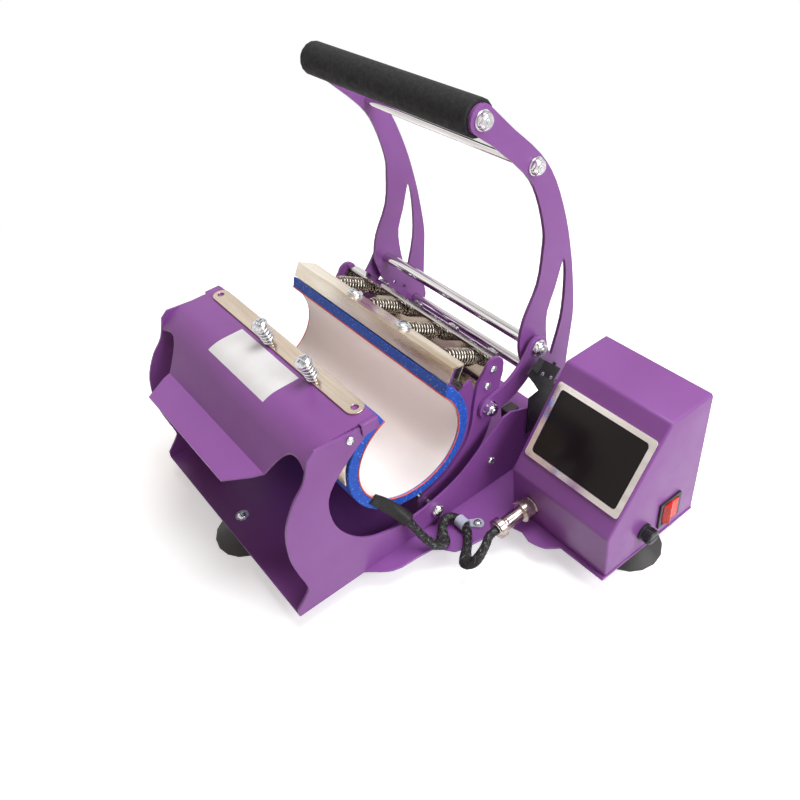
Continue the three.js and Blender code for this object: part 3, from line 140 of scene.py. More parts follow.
rays = node(room, "ShaderNodeLightPath").outputs
air = out(room, "ShaderNodeMixShader", {0: rays["Is Glossy Ray"], 1: on_matt, 2: in_gloss})
seen = maths(room, "MAXIMUM", rays["Is Camera Ray"], rays["Is Transmission Ray"])
air = out(room, "ShaderNodeMixShader", {0: seen, 1: air, 2: plain})
node(room, "ShaderNodeOutputWorld", {"Surface": air})
bpy.context.scene.world = studio

LAMPS = {
    "window_lamp": {"place": (1.25, 0.35, 0.85), "target": (0.05, 0, 0.12), "size": 1.0, "power": 16,
                    "color": (0.9, 0.95, 1)},
    "ceiling_lamp": {"place": (0.25, 0.5, 2.0), "target": (0, 0, 0.1), "size": 1.2, "power": 31,
                     "color": (0.94, 0.97, 1)},
    "front_lamp": {"place": (-0.5, -1.9, 0.9), "target": (0, 0, 0.15), "size": 1.2, "power": 0.4,
                   "color": (1, 0.8, 0.7)},
}
for name, lamp in LAMPS.items():
    light = bpy.data.lights.new(name, "AREA")
    light.shape = "DISK"
    light.size = lamp["size"]
    light.energy = lamp["power"]
    light.color = lamp["color"]
    hung = placed(name, light)
    hung.location = lamp["place"]
    hung.rotation_euler = (Vector(lamp["target"]) - hung.location).to_track_quat("-Z", "Y").to_euler()

# The table top is brighter to the camera than to the piece above it, and fades to plain white far off
FLOOR_REACH = 8
FLOOR_FADE = (0.35, 0.9)
FLOOR_LIFT = 0.5
FLOOR_PALE = (0.88, 0.88, 0.88, 1)
FLOOR_DIM = (0.62, 0.6, 0.58, 1)
floor_mesh = bpy.data.meshes.new("floor")
floor_corners = [(x * FLOOR_REACH, y * FLOOR_REACH, 0) for x, y in ((-1, -1), (1, -1), (1, 1), (-1, 1))]
floor_mesh.from_pydata(floor_corners, [], [(0, 1, 2, 3)])
floor = placed("floor", floor_mesh)
table_top = bpy.data.materials.new("table_top")
table_top.use_nodes = True
tree = table_top.node_tree
tree.nodes.clear()
pale = out(tree, "ShaderNodeBsdfDiffuse", {"Color": FLOOR_PALE})
dim = out(tree, "ShaderNodeBsdfDiffuse", {"Color": FLOOR_DIM})
lift = out(tree, "ShaderNodeEmission", {"Color": WHITE, "Strength": FLOOR_LIFT})
plain = out(tree, "ShaderNodeEmission", {"Color": WHITE, "Strength": 1.0})
rays = node(tree, "ShaderNodeLightPath").outputs
seen = maths(tree, "MAXIMUM", rays["Is Camera Ray"], rays["Is Glossy Ray"])
away = node(tree, "ShaderNodeVectorMath", {0: on_piece(tree)}, operation="LENGTH").outputs["Value"]
far = ramp(tree, away, *FLOOR_FADE, interpolation_type="SMOOTHSTEP")
lifted = out(tree, "ShaderNodeAddShader", {0: pale, 1: lift})
faded = out(tree, "ShaderNodeMixShader", {0: far, 1: lifted, 2: plain})
top = out(tree, "ShaderNodeMixShader", {0: seen, 1: dim, 2: faded})
node(tree, "ShaderNodeOutputMaterial", {"Surface": top})
floor_mesh.materials.append(table_top)


# Heater cable: two heater wires and a sensor pair in one braided sleeve of black polyester. It leaves the
# boot at the mat's end, lies flattened in two bends on the base plate, and ends in the plug.
CABLE_RADIUS = 0.0034
CABLE_SIDES = 20
CABLE_STEPS = 12
CABLE_ROUTE = [
    (122.4, 106.2, 39.0), (124.6, 107.2, 35), (129, 110, 26.5), (136, 114, 16), (142.5, 119.5, 9),
    (143.5, 126.5, 6.6), (136.5, 131.5, 7.2), (130.5, 137.5, 9.5), (128.8, 145, 10.5), (132, 150.5, 8.2),
    (139, 151, 7.2), (146.5, 149.5, 7), (157, 141, 6.2), (166, 131, 6), (172.5, 126.5, 7), (177, 131, 10),
    (175.5, 143, 15.5), (171.6, 152, 18.7), (171, 156.5, 19), (171, 159.9, 19),
]
CABLE_FLAT = {(143.5, 126.5, 6.6): 1.55, (172.5, 126.5, 7): 1.6}
FLAT_REACH = 0.0115
FLAT_SINK = 0.55
STRANDS = {"Count": 9, "Sleeve Radius": CABLE_RADIUS - 0.0003, "Strand Width": 0.0005, "Twist": 32}
STRAND_FINE = 4
STRAND_SIDES = 5
EVEN = (1, 1, 1)
NOISE_MIDDLE = (0.3, 0.7)


def spot(x, y, z):
    """A place in millimetres from the cradle's middle, its front edge and its underside, in the frame"""
    return Vector(((x - 68.25) / 1000, (y - 151.7) / 1000, (z + 19.6) / 1000))


def smooth_route(route, steps):
    """Points on the smooth curve through a route of places"""
    places = [spot(*place) for place in route]
    places = [2 * places[0] - places[1], *places, 2 * places[-1] - places[-2]]
    made = []
    for a, b, c, d in zip(places, places[1:], places[2:], places[3:]):
        first, middle, last = ((q - p).length ** 0.5 for p, q in ((a, b), (b, c), (c, d)))
        for step in range(steps):
            t = middle * step / steps
            ab = b + (b - a) * (t / first)
            bc = b.lerp(c, t / middle)
            cd = c + (d - c) * ((t - middle) / last)
            early = ab.lerp(bc, (t + first) / (first + middle))
            late = bc.lerp(cd, t / (middle + last))
            made.append(early.lerp(late, t / middle))
    return [*made, places[-2]]


def grain(tree, scale, detail=2.0, stretch=EVEN, roughness=0.5):
    """A noise over the piece, with its scale in cycles a metre"""
    shaped = out(tree, "ShaderNodeMapping", {"Vector": on_piece(tree), "Scale": stretch})
    noise = {"Vector": shaped, "Scale": scale, "Detail": detail, "Roughness": roughness}
    return out(tree, "ShaderNodeTexNoise", noise)


def mixed(tree, share, low, high):
    return node(tree, "ShaderNodeMix", {0: share, 6: low, 7: high}, data_type="RGBA").outputs[2]


def surface(name, colour, gloss, bumps=None, metal=0, specular=0.5):
    """A finish. Colour and gloss each hold a noise and two ends, which run over the noise's middle, and
    bumps a noise, a strength and a depth. A noise is grain's values or a function, and gloss may be one
    number."""
    made = bpy.data.materials.new(name)
    made.use_nodes = True
    tree, shader = made.node_tree, made.node_tree.nodes["Principled BSDF"]

    def pattern(noise):
        return noise(tree) if callable(noise) else grain(tree, *noise)

    noise, low, high = colour
    share = ramp(tree, pattern(noise), *NOISE_MIDDLE)
    tree.links.new(mixed(tree, share, (*low, 1), (*high, 1)), shader.inputs["Base Color"])
    if isinstance(gloss, tuple):
        noise, low, high = gloss
        tree.links.new(ramp(tree, pattern(noise), *NOISE_MIDDLE, low, high), shader.inputs["Roughness"])
    else:
        shader.inputs["Roughness"].default_value = gloss
    if bumps:
        noise, strength, depth = bumps
        bump = {"Height": pattern(noise), "Strength": strength, "Distance": depth}
        tree.links.new(out(tree, "ShaderNodeBump", bump), shader.inputs["Normal"])
    shader.inputs["Metallic"].default_value = metal
    shader.inputs["Specular IOR Level"].default_value = specular
    return made


braid_sleeve = surface("braid_sleeve", ((700, 3), (0.006, 0.005, 0.005), (0.026, 0.023, 0.021)),
                       ((300, 2), 0.3, 0.55), ((1400, 3), 0.5, 0.0003), specular=0.25)
braid_yarn = surface("braid_yarn", ((700, 3), (0.004, 0.004, 0.004), (0.03, 0.027, 0.026)),
                     ((300, 2), 0.1, 0.3))


def shape_tree(name, sizes):
    """An empty geometry tree with named inputs for its sizes and its finish"""
    made = bpy.data.node_groups.new(name, "GeometryNodeTree")
    made.interface.new_socket(name="Places", in_out="INPUT", socket_type="NodeSocketGeometry")
    for size, value in sizes.items():
        socket = made.interface.new_socket(name=size, in_out="INPUT", socket_type="NodeSocketFloat")
        socket.default_value = value
    made.interface.new_socket(name="Finish", in_out="INPUT", socket_type="NodeSocketMaterial")
    made.interface.new_socket(name="Shape", in_out="OUTPUT", socket_type="NodeSocketGeometry")
    return made, node(made, "NodeGroupInput").outputs


def close_tree(tree, shape, size):
    whole = out(tree, "GeometryNodeRealizeInstances", {"Geometry": shape})
    coated = out(tree, "GeometryNodeSetMaterial", {"Geometry": whole, "Material": size["Finish"]})
    node(tree, "NodeGroupOutput", {"Shape": coated})


def joined(tree, *shapes):
    whole = node(tree, "GeometryNodeJoinGeometry")
    for shape in shapes:
        tree.links.new(shape, whole.inputs[0])
    return whole.outputs[0]


def times(tree, value, share):
    return maths(tree, "MULTIPLY", value, share)


def round_line(tree, sides, radius):
    circle = {"Resolution": sides, "Radius": radius}
    return out(tree, "GeometryNodeCurvePrimitiveCircle", circle, mode="RADIUS")


def grown(name, tree, places, finish, sizes, sharp=35):
    """A plain mesh object of what the tree makes on a mesh of places"""
    made = placed(name, places)
    growth = made.modifiers.new("growth", "NODES")
    growth.node_group = tree
    sockets = {item.name: item.identifier for item in tree.interface.items_tree if item.in_out == "INPUT"}
    for size, value in {**sizes, "Finish": finish}.items():
        growth[sockets[size]] = value
    graph = bpy.context.evaluated_depsgraph_get()
    shape = bpy.data.meshes.new_from_object(made.evaluated_get(graph), depsgraph=graph)
    made.modifiers.remove(growth)
    made.data = shape
    shape.shade_smooth()
    shape.set_sharp_from_angle(angle=math.radians(sharp))
    return made


def line_mesh(name, path, closed=False):
    made = bpy.data.meshes.new(name)
    edges = [(i, i + 1) for i in range(len(path) - 1)]
    if closed:
        edges.append((len(path) - 1, 0))
    made.from_pydata([tuple(place) for place in path], edges, [])
    return made


def hose_mesh(name, path, wide, thin, sides, up=Vector((0, 0, 1)), capped=True):
    """A tube round a path whose section is as wide and as thin as the lists say at each point"""
    verts, faces = [], []
    for i, place in enumerate(path):
        ahead = (path[min(i + 1, len(path) - 1)] - path[max(i - 1, 0)]).normalized()
        across = ahead.cross(up).normalized()
        over = across.cross(ahead)
        for side in range(sides):
            angle = math.tau * side / sides
            verts.append(place + across * wide[i] * math.cos(angle) + over * thin[i] * math.sin(angle))
    for low in range(0, (len(path) - 1) * sides, sides):
        for side in range(sides):
            after = (side + 1) % sides
            faces.append((low + side, low + after, low + sides + after, low + sides + side))
    if capped:
        faces.append(tuple(reversed(range(sides))))
        faces.append(tuple(range((len(path) - 1) * sides, len(path) * sides)))
    made = bpy.data.meshes.new(name)
    made.from_pydata([tuple(place) for place in verts], [], faces)
    made.validate()
    return made


def shown(name, mesh, finish, sharp=40):
    """An object of a mesh made here, with its faces turned out"""
    mesh.materials.append(finish)
    shape = bmesh.new()
    shape.from_mesh(mesh)
    bmesh.ops.recalc_face_normals(shape, faces=shape.faces)
    shape.to_mesh(mesh)
    shape.free()
    mesh.shade_smooth()
    mesh.set_sharp_from_angle(angle=math.radians(sharp))
    return placed(name, mesh)


def fitted(piece, body, slot, *replaced):
    """The piece rides on its body and stands for the nodes named. Its slot is not used."""
    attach(piece, body)
    if replaced:
        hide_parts(*replaced)
    return piece


cable_path = smooth_route(CABLE_ROUTE, CABLE_STEPS)
flat_spots = [(spot(*place), width) for place, width in CABLE_FLAT.items()]
cable_width = []
for place in cable_path:
    near = [(width - 1) * math.exp(-((place - middle).length / FLAT_REACH) ** 2)
            for middle, width in flat_spots]
    cable_width.append(1 + sum(near))
wide = [CABLE_RADIUS * width for width in cable_width]
thin = [CABLE_RADIUS * (1 - FLAT_SINK * (width - 1)) for width in cable_width]
cable_mesh = hose_mesh("heater_cable", cable_path, wide, thin, CABLE_SIDES)
heater_cable = shown("heater_cable_piece", cable_mesh, braid_sleeve)
fitted(heater_cable, "base", "rubber", "heater_cable")

# The sleeve's strands wind both ways round the cable and flatten with it
tree, size = shape_tree("braid_strands", STRANDS)
line = out(tree, "GeometryNodeMeshToCurve", {"Mesh": size["Places"]})
share = node(tree, "GeometryNodeSplineParameter").outputs["Factor"]
count = out(tree, "FunctionNodeFloatToInt", {0: size["Count"]})
ring = out(tree, "GeometryNodeMeshCircle", {"Vertices": count, "Radius": size["Sleeve Radius"]})
strand = round_line(tree, STRAND_SIDES, size["Strand Width"])
strands = out(tree, "GeometryNodeInstanceOnPoints", {"Points": ring, "Instance": strand})
section = out(tree, "GeometryNodeRealizeInstances", {"Geometry": strands})
both_ways = []
for way in (1, -1):
    tilt = times(tree, times(tree, share, size["Twist"]), way)
    wound = out(tree, "GeometryNodeSetCurveTilt", {"Curve": line, "Tilt": tilt})
    both_ways.append(out(tree, "GeometryNodeCurveToMesh", {"Curve": wound, "Profile Curve": section}))
close_tree(tree, joined(tree, *both_ways), size)
fine_line = line_mesh("cable_line", smooth_route(CABLE_ROUTE, CABLE_STEPS * STRAND_FINE))
cable_braid = grown("cable_braid", tree, fine_line, braid_yarn, STRANDS)
points = np.empty(len(cable_braid.data.vertices) * 3, np.float32)
cable_braid.data.vertices.foreach_get("co", points)
points = points.reshape(-1, 3)
centres = np.array([tuple(place) for place in cable_path])
ahead = np.gradient(centres, axis=0)
ahead /= np.linalg.norm(ahead, axis=1)[:, None]
across = np.cross(ahead, (0, 0, 1))
across /= np.linalg.norm(across, axis=1)[:, None]
over = np.cross(across, ahead)
BATCH = 4000
for start in range(0, len(points), BATCH):
    batch = points[start:start + BATCH]
    nearest = np.argmin(((batch[:, None, :] - centres[None]) ** 2).sum(2), axis=1)
    away = batch - centres[nearest]
    spread = np.array(cable_width)[nearest] - 1
    sideways = (away * across[nearest]).sum(1) * spread
    upward = (away * over[nearest]).sum(1) * -FLAT_SINK * spread
    batch = batch + across[nearest] * sideways[:, None]
    points[start:start + BATCH] = batch + over[nearest] * upward[:, None]
cable_braid.data.vertices.foreach_set("co", points.ravel())
cable_braid.data.update()
fitted(cable_braid, "base", "rubber")


# Feet: moulded rubber suction cups, each with a thick neck that a screw through the base plate holds. The
# rubber is matt and dusty, with a little more sheen on the worn rim.
FOOT_SCREWS = [(-2.5, 16), (-90, 275), (90, 275)]
FOOT_SCREW_SEAT = 2.4
WELD = 2e-6
FLAT_WITHIN = math.radians(0.4)
BENT_OVER = math.radians(20)
LONG_EDGE = 0.03
BROAD_FACE = 0.0008


def dress(name, body, finish, bevel=0.0004, sharp=32, fold=0):
    """The node's own shape with merged corners, rounded edges and smooth bends, in its real finish. Fold is
    the radius that the sheet's long outer bends are rounded to."""
    shape = bmesh.new()
    shape.from_mesh(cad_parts[name].data)
    bmesh.ops.remove_doubles(shape, verts=shape.verts, dist=WELD)
    bmesh.ops.dissolve_limit(shape, angle_limit=FLAT_WITHIN, verts=shape.verts, edges=shape.edges)
    if fold:
        bends = [edge for edge in shape.edges if edge.calc_length() > LONG_EDGE and edge.is_convex
                 and edge.calc_face_angle() > BENT_OVER
                 and min(face.calc_area() for face in edge.link_faces) > BROAD_FACE]
        bmesh.ops.bevel(shape, geom=bends, offset=fold, segments=5, affect="EDGES", profile=0.5,
                        clamp_overlap=True)
    mesh = bpy.data.meshes.new(name)
    shape.to_mesh(mesh)
    shape.free()
    if "custom_normal" in mesh.attributes:
        mesh.attributes.remove(mesh.attributes["custom_normal"])
    mesh.materials.clear()
    mesh.materials.append(finish)
    mesh.polygons.foreach_set("material_index", [0] * len(mesh.polygons))
    mesh.shade_smooth()
    mesh.set_sharp_from_angle(angle=math.radians(sharp))
    piece = placed(name + "_piece", mesh)
    if bevel:
        edge = piece.modifiers.new("edge", "BEVEL")
        edge.width = bevel
        edge.segments = 2
        edge.limit_method = "ANGLE"
        edge.angle_limit = math.radians(sharp)
        edge.harden_normals = True
    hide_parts(name)
    if body:
        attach(piece, body)
    return piece


DUST = (45, 5, EVEN, 0.7)
black_rubber = surface("black_rubber", (DUST, (0.017, 0.015, 0.014), (0.06, 0.054, 0.052)),
                       (DUST, 0.42, 0.68), ((500, 3), 0.25, 0.0004))
for foot in ("foot_1", "foot_2", "foot_3", "foot_4"):
    dress(foot, "base", black_rubber, 0.0006, 50)

# Small screws: steel screws with pan heads and a cross recess, plated with zinc. They hold the feet, the
# sheet parts and the cable's clip, some of them over a washer.
HEAD_UNDER = 0.3
CROSS_BARS = ((1.15, 0.26), (0.26, 1.15))
CROSS_DEPTH = 0.9
SHANK_DROP = -0.498
WASHER_THICK = 0.001
zinc_plating = surface("zinc_plating", ((260, 3), (0.5, 0.5, 0.52), (0.82, 0.81, 0.82)),
                       ((400, 3), 0.14, 0.3), metal=1)


def vector_of(tree, x=0.0, y=0.0, z=0.0):
    return out(tree, "ShaderNodeCombineXYZ", {0: x, 1: y, 2: z})


def moved(tree, shape, offset):
    return out(tree, "GeometryNodeTransform", {"Geometry": shape, "Translation": offset})


def disc_of(tree, sides, radius, depth):
    return out(tree, "GeometryNodeMeshCylinder", {"Vertices": sides, "Radius": radius, "Depth": depth})


def close_at_places(tree, shape, size):
    """The tree ends in a copy of the shape at each place, turned the way that the place faces"""
    facing = out(tree, "GeometryNodeInputNamedAttribute", {"Name": "facing"}, data_type="FLOAT_VECTOR")
    copies = {"Points": size["Places"], "Instance": shape, "Rotation": facing}
    close_tree(tree, out(tree, "GeometryNodeInstanceOnPoints", copies), size)


tree, size = shape_tree("pan_head_screw", {
    "Head Radius": 0.004, "Head Height": 0.0026, "Shank Radius": 0.002, "Shank Length": 0.004,
    "Washer Radius": 0.002})
ball = out(tree, "GeometryNodeMeshUVSphere", {"Segments": 28, "Rings": 16, "Radius": 1.0})
place = out(tree, "GeometryNodeInputPosition")
rise = maths(tree, "MAXIMUM", part_of(tree, place, "Z"), -HEAD_UNDER)
rise = maths(tree, "DIVIDE", maths(tree, "ADD", rise, HEAD_UNDER), 1 + HEAD_UNDER)
pan = vector_of(tree, times(tree, part_of(tree, place, "X"), size["Head Radius"]),
                times(tree, part_of(tree, place, "Y"), size["Head Radius"]),
                times(tree, rise, size["Head Height"]))
head = out(tree, "GeometryNodeSetPosition", {"Geometry": ball, "Position": pan})
for wide_share, deep_share in CROSS_BARS:
    bar = vector_of(tree, times(tree, size["Head Radius"], wide_share),
                    times(tree, size["Head Radius"], deep_share),
                    times(tree, size["Head Height"], CROSS_DEPTH))
    bar = out(tree, "GeometryNodeMeshCube", {"Size": bar})
    bar = moved(tree, bar, vector_of(tree, z=size["Head Height"]))
    head = out(tree, "GeometryNodeMeshBoolean", {"Mesh 1": head, "Mesh 2": bar},
               operation="DIFFERENCE", solver="EXACT")
shank = disc_of(tree, 18, size["Shank Radius"], size["Shank Length"])
shank = moved(tree, shank, vector_of(tree, z=times(tree, size["Shank Length"], SHANK_DROP)))
washer = disc_of(tree, 32, size["Washer Radius"], WASHER_THICK)
close_at_places(tree, joined(tree, head, shank, washer), size)
screw_tree = tree


def places_mesh(name, places):
    """Points that each hold the way their axis faces, as the angles that turn Z to it"""
    made = bpy.data.meshes.new(name)
    made.from_pydata([tuple(place) for place, axis in places], [], [])
    facing = made.attributes.new("facing", "FLOAT_VECTOR", "POINT")
    for held, (place, axis) in zip(facing.data, places):
        held.vector = Vector(axis).to_track_quat("Z", "Y").to_euler()
    return made


def on_both_sides(x, places):
    """Places at the same height and depth on the left and the right, facing outward"""
    return [(spot(side * x, y, z), (side, 0, 0)) for side in (-1, 1) for y, z in places]


def screwed(name, body, places, head, height, length, shank=0.002, washer=0.002, finish=zinc_plating,
            replaced=()):
    sizes = {"Head Radius": head, "Head Height": height, "Shank Radius": shank, "Shank Length": length,
             "Washer Radius": washer}
    made = grown(name, screw_tree, places_mesh(name + "_places", places), finish, sizes)
    return fitted(made, body, "zinc", *replaced)


screwed("foot_screws", "base", [(spot(x, y, FOOT_SCREW_SEAT), (0, 0, 1)) for x, y in FOOT_SCREWS],
        head=0.0042, height=0.0026, length=0.006, washer=0.006)

# Base plate: laser cut steel under a thick purple powder coat, with a wing for the control box. The coat
# levels out to a satin skin with a fine orange peel.
powder_coat = surface("powder_coat", ((11, 4), (0.225, 0.064, 0.275), (0.265, 0.084, 0.335)),
                      ((60, 3), 0.3, 0.42), ((800, 3), 0.14, 0.0003), specular=0.45)
dress("base_plate", "base", powder_coat, 0.0007)

# Cheeks: the two upright side plates of the cradle, cut from the same sheet and welded to the base, with
# small machine screws where the shells and the switch bracket are held
CHEEK_FACE = 119.5
CHEEK_SCREWS = ((74, 143), (202, 31))
for cheek in ("cheek_left", "cheek_right"):
    dress(cheek, "base", powder_coat, 0.0007)
screwed("cheek_screws", "base", on_both_sides(CHEEK_FACE + 0.1, CHEEK_SCREWS), head=0.0036, height=0.0026,
        length=0.004)

# Cover tabs: the two ends of the front cover's sheet steel, in the same purple coat. Each is folded down
# over the top of a cheek and keeps the cover in its place.
TAB_FRONT, TAB_REAR, TAB_LOW, TAB_TOP, TAB_THICK = 84, 98.5, 141, 151, 1.5
TAB_GAP = 0.3
TAB_ROUND = 0.0005


def slab(name, ends, finish, caps=None):
    """A solid between two like outlines. Caps are the faces of each end, as corners, where one won't do."""
    shape = bmesh.new()
    rings = [[shape.verts.new(place) for place in end] for end in ends]
    for ring in rings:
        for cap in caps or [range(len(ring))]:
            shape.faces.new([ring[corner] for corner in cap])
    for i in range(len(rings[0])):
        shape.faces.new((rings[0][i - 1], rings[0][i], rings[1][i], rings[1][i - 1]))
    mesh = bpy.data.meshes.new(name)
    shape.to_mesh(mesh)
    shape.free()
    return shown(name, mesh, finish)


for side, name in ((-1, "left"), (1, "right")):
    inside, face, outside = (side * (CHEEK_FACE + out_by) for out_by in (-2, TAB_GAP, TAB_THICK + TAB_GAP))
    section = [(inside, TAB_TOP), (outside, TAB_TOP), (outside, TAB_LOW), (face, TAB_LOW),
               (face, TAB_TOP - TAB_THICK), (inside, TAB_TOP - TAB_THICK)]
    ends = [[spot(x, y, z) for x, z in section] for y in (TAB_FRONT, TAB_REAR)]
    tab = slab("cover_tab_" + name, ends, powder_coat)
    edge = tab.modifiers.new("edge", "BEVEL")
    edge.width = TAB_ROUND
    edge.segments = 2
    fitted(tab, "base", "powder_coat")

# Hinge rod of the jaw and fulcrum bar of the lever: two rods of drawn steel, brightly plated. Each goes
# through both cheeks and is held by the rounded heads at its ends.
DRAWN = (0.3, 3, 3)
bar_steel = surface("drawn_steel", ((60, 3, DRAWN), (0.68, 0.65, 0.64), (0.8, 0.78, 0.77)),
                    ((200, 3, (0.2, 3, 3)), 0.07, 0.12), metal=1)
dress("hinge_rod", "base", bar_steel, 0.0004, 50)
dress("fulcrum_bar", "base", bar_steel, 0.0005, 50)

# Heating mat: a thick pad of blue silicone foam with pale flecks, cut square at its ends. A bead of orange
# silicone glues the heater's liner along its inner edge.
MAT_MIDDLE = (127.5, 92)
MAT_AXES = (49.3, 45.3)
MAT_HALF = 112.5
MAT_ENDS = (40, -247)
RIM_STEPS = 90
BEAD_RADIUS = 0.00055
CELLS = (420, 5, EVEN, 0.9)
FLECKS = (0.12, 0.24, 0.8, 0.0)
FLECK_SCALE = 340.0
FLECK_COLOR = (0.22, 0.45, 1.0, 1)
LINER_LOW_DARKENING = (0.085, 0.045, 0.15, 0.75)
LINER_THREADS = {"Scale": 300.0, "Distortion": 1.5}
silicone_foam = surface("silicone_foam", (CELLS, (0.004, 0.02, 0.2), (0.018, 0.16, 0.85)),
                        (CELLS, 0.45, 0.7), (CELLS, 0.6, 0.0006))
tree = silicone_foam.node_tree
foam_color = tree.nodes["Principled BSDF"].inputs["Base Color"]
fleck = node(tree, "ShaderNodeTexVoronoi", {"Vector": on_piece(tree), "Scale": FLECK_SCALE})
share = ramp(tree, fleck.outputs["Distance"], *FLECKS)
tree.links.new(mixed(tree, share, foam_color.links[0].from_socket, FLECK_COLOR), foam_color)
pad = dress("silicone_pad", None, silicone_foam, 0.0009)
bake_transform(pad)


def patchy(tree, ramped, depth, *noise):
    """A ramp broken into soft random patches that leave it the same on the whole"""
    return maths(tree, "ADD", ramped, times(tree, maths(tree, "SUBTRACT", grain(tree, *noise), 0.5), depth))


# The liner's colour runs darker toward its bottom, in soft random patches.
def liner_darker_low(tree):
    return patchy(tree, ramp(tree, part_of(tree, on_piece(tree), "Z"), *LINER_LOW_DARKENING), 0.3, 9, 3)


def liner_weave(tree):
    return node(tree, "ShaderNodeTexWave", {"Vector": on_piece(tree), **LINER_THREADS}).outputs["Fac"]


coated_cloth = surface("coated_cloth", (liner_darker_low, (0.98, 0.91, 0.89), (0.3, 0.28, 0.29)),
                       ((90, 3), 0.5, 0.65), (liner_weave, 0.06, 0.0002))
mat_liner = dress("heater_liner", None, coated_cloth, 0)
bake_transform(mat_liner)

orange_silicone = surface("orange_silicone", ((120, 3), (0.72, 0.08, 0.03), (0.82, 0.14, 0.06)), 0.45)
tree, size = shape_tree("edge_bead", {"Bead Radius": BEAD_RADIUS})
line = out(tree, "GeometryNodeMeshToCurve", {"Mesh": size["Places"]})
bead = {"Curve": line, "Profile Curve": round_line(tree, 8, size["Bead Radius"]), "Fill Caps": True}
close_tree(tree, out(tree, "GeometryNodeCurveToMesh", bead), size)
rim = []
for side in (1, -1):
    for i in range(RIM_STEPS + 1)[::side]:
        turned = math.radians(MAT_ENDS[0] + (MAT_ENDS[1] - MAT_ENDS[0]) * i / RIM_STEPS)
        y = MAT_MIDDLE[0] + MAT_AXES[0] * math.cos(turned)
        z = MAT_MIDDLE[1] + MAT_AXES[1] * math.sin(turned)
        rim.append(spot(side * (MAT_HALF + 0.1), y, z))
edge_bead = grown("mat_edge_bead", tree, line_mesh("mat_rim", rim, True), orange_silicone,
                  {"Bead Radius": BEAD_RADIUS})
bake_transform(edge_bead)

# Front shell: a thin sheet of bright steel between the cheeks. It is rolled to the mat's curve and hugs
# the mat's front under the cover.
polished_steel = surface("polished_steel",
                         ((26, 4, (0.25, 3, 3), 0.65), (0.54, 0.44, 0.34), (0.72, 0.61, 0.5)),
                         ((90, 3, (0.2, 4, 4)), 0.16, 0.3), metal=1)
dress("front_shell", "base", polished_steel, 0.0002)

# Front cover: sheet steel bent once over the mat's front, with a level flap, in the same purple coat. A
# plain blank label lies on its top, by the bend.
LABEL_WIDE, LABEL_DEEP = (-45, 44.3), (47.7, 80.4)
LABEL_STEPS = (24, 20)
LABEL_LIFTS = (0.00005, 0.00022)
dress("front_cover", "base", powder_coat, 0.0004, 25)
label_stock = surface("label_stock", ((40, 3), (0.74, 0.72, 0.72), (0.8, 0.79, 0.8)), 0.35)
cover_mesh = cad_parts["front_cover"].data
cover_faces = BVHTree.FromPolygons([vert.co[:] for vert in cover_mesh.vertices],
                                   [face.vertices[:] for face in cover_mesh.polygons])
verts, faces = [], []
for lift in LABEL_LIFTS:
    for x in np.linspace(*LABEL_WIDE, LABEL_STEPS[0] + 1):
        for y in np.linspace(*LABEL_DEEP, LABEL_STEPS[1] + 1):
            hit, normal = cover_faces.ray_cast(spot(x, y, 200), Vector((0, 0, -1)))[:2]
            verts.append(tuple(hit + normal * lift))
row = LABEL_STEPS[1] + 1
layer = len(verts) // 2
for i in range(LABEL_STEPS[0]):
    for low in range(i * row, i * row + LABEL_STEPS[1]):
        faces.append((low, low + row, low + row + 1, low + 1))
        faces.append(tuple(layer + corner for corner in (low, low + 1, low + row + 1, low + row)))
border = [*range(0, layer - row, row), *range(layer - row, layer - 1)]
border += [*range(layer - 1, row - 1, -row), *range(row - 1, 0, -1)]
faces += [(a, b, layer + b, layer + a) for a, b in zip(border, border[1:] + border[:1])]
label_mesh = bpy.data.meshes.new("blank_label")
label_mesh.from_pydata(verts, [], faces)
fitted(shown("blank_label", label_mesh, label_stock), "base", "liner")

# Clamp strip: a flat bar of brushed steel along the cover's rear edge, held down by two sprung screws that
# lean to the front
FRONT_SCREWS = (-10.755, 54.3725)
FRONT_SEAT = (88, 152.8)
FRONT_LEAN = math.radians(16)
FRONT_LENGTH = 18.5
FRONT_COIL = {"radius": 4.7, "wire": 1.05, "gaps": (0.3, 1.2), "turns": 4.5}
COIL_TAPER = 0.24
dress("front_clamp_strip", "base", polished_steel, 0.0004)

tree, size = shape_tree("coil_spring", {
    "Length": 0.043, "Radius": 0.007, "End Radius": 0.0046, "Wire": 0.001, "Turns": 13.0})
helix = out(tree, "GeometryNodeCurveSpiral", {
    "Resolution": 26, "Rotations": size["Turns"], "Start Radius": 1.0, "End Radius": 1.0,
    "Height": size["Length"]})
share = node(tree, "GeometryNodeSplineParameter").outputs["Factor"]
end_share = maths(tree, "MINIMUM", share, maths(tree, "SUBTRACT", 1.0, share))
belly = ramp(tree, end_share, 0.0, COIL_TAPER, size["End Radius"], size["Radius"],
             interpolation_type="SMOOTHSTEP")
place = out(tree, "GeometryNodeInputPosition")
barrel = vector_of(tree, times(tree, part_of(tree, place, "X"), belly),
                   times(tree, part_of(tree, place, "Y"), belly), part_of(tree, place, "Z"))
shaped = out(tree, "GeometryNodeSetPosition", {"Geometry": helix, "Position": barrel})
coil = {"Curve": shaped, "Profile Curve": round_line(tree, 8, size["Wire"]), "Fill Caps": True}
close_at_places(tree, out(tree, "GeometryNodeCurveToMesh", coil), size)
spring_tree = tree


def coiled(name, places, finish, length, radius, end_radius, wire, turns):
    """Springs with their sizes in millimetres"""
    sizes = {"Length": length / 1000, "Radius": radius / 1000, "End Radius": end_radius / 1000,
             "Wire": wire / 1000, "Turns": turns}
    return grown(name, spring_tree, places_mesh(name + "_places", places), finish, sizes, 60)


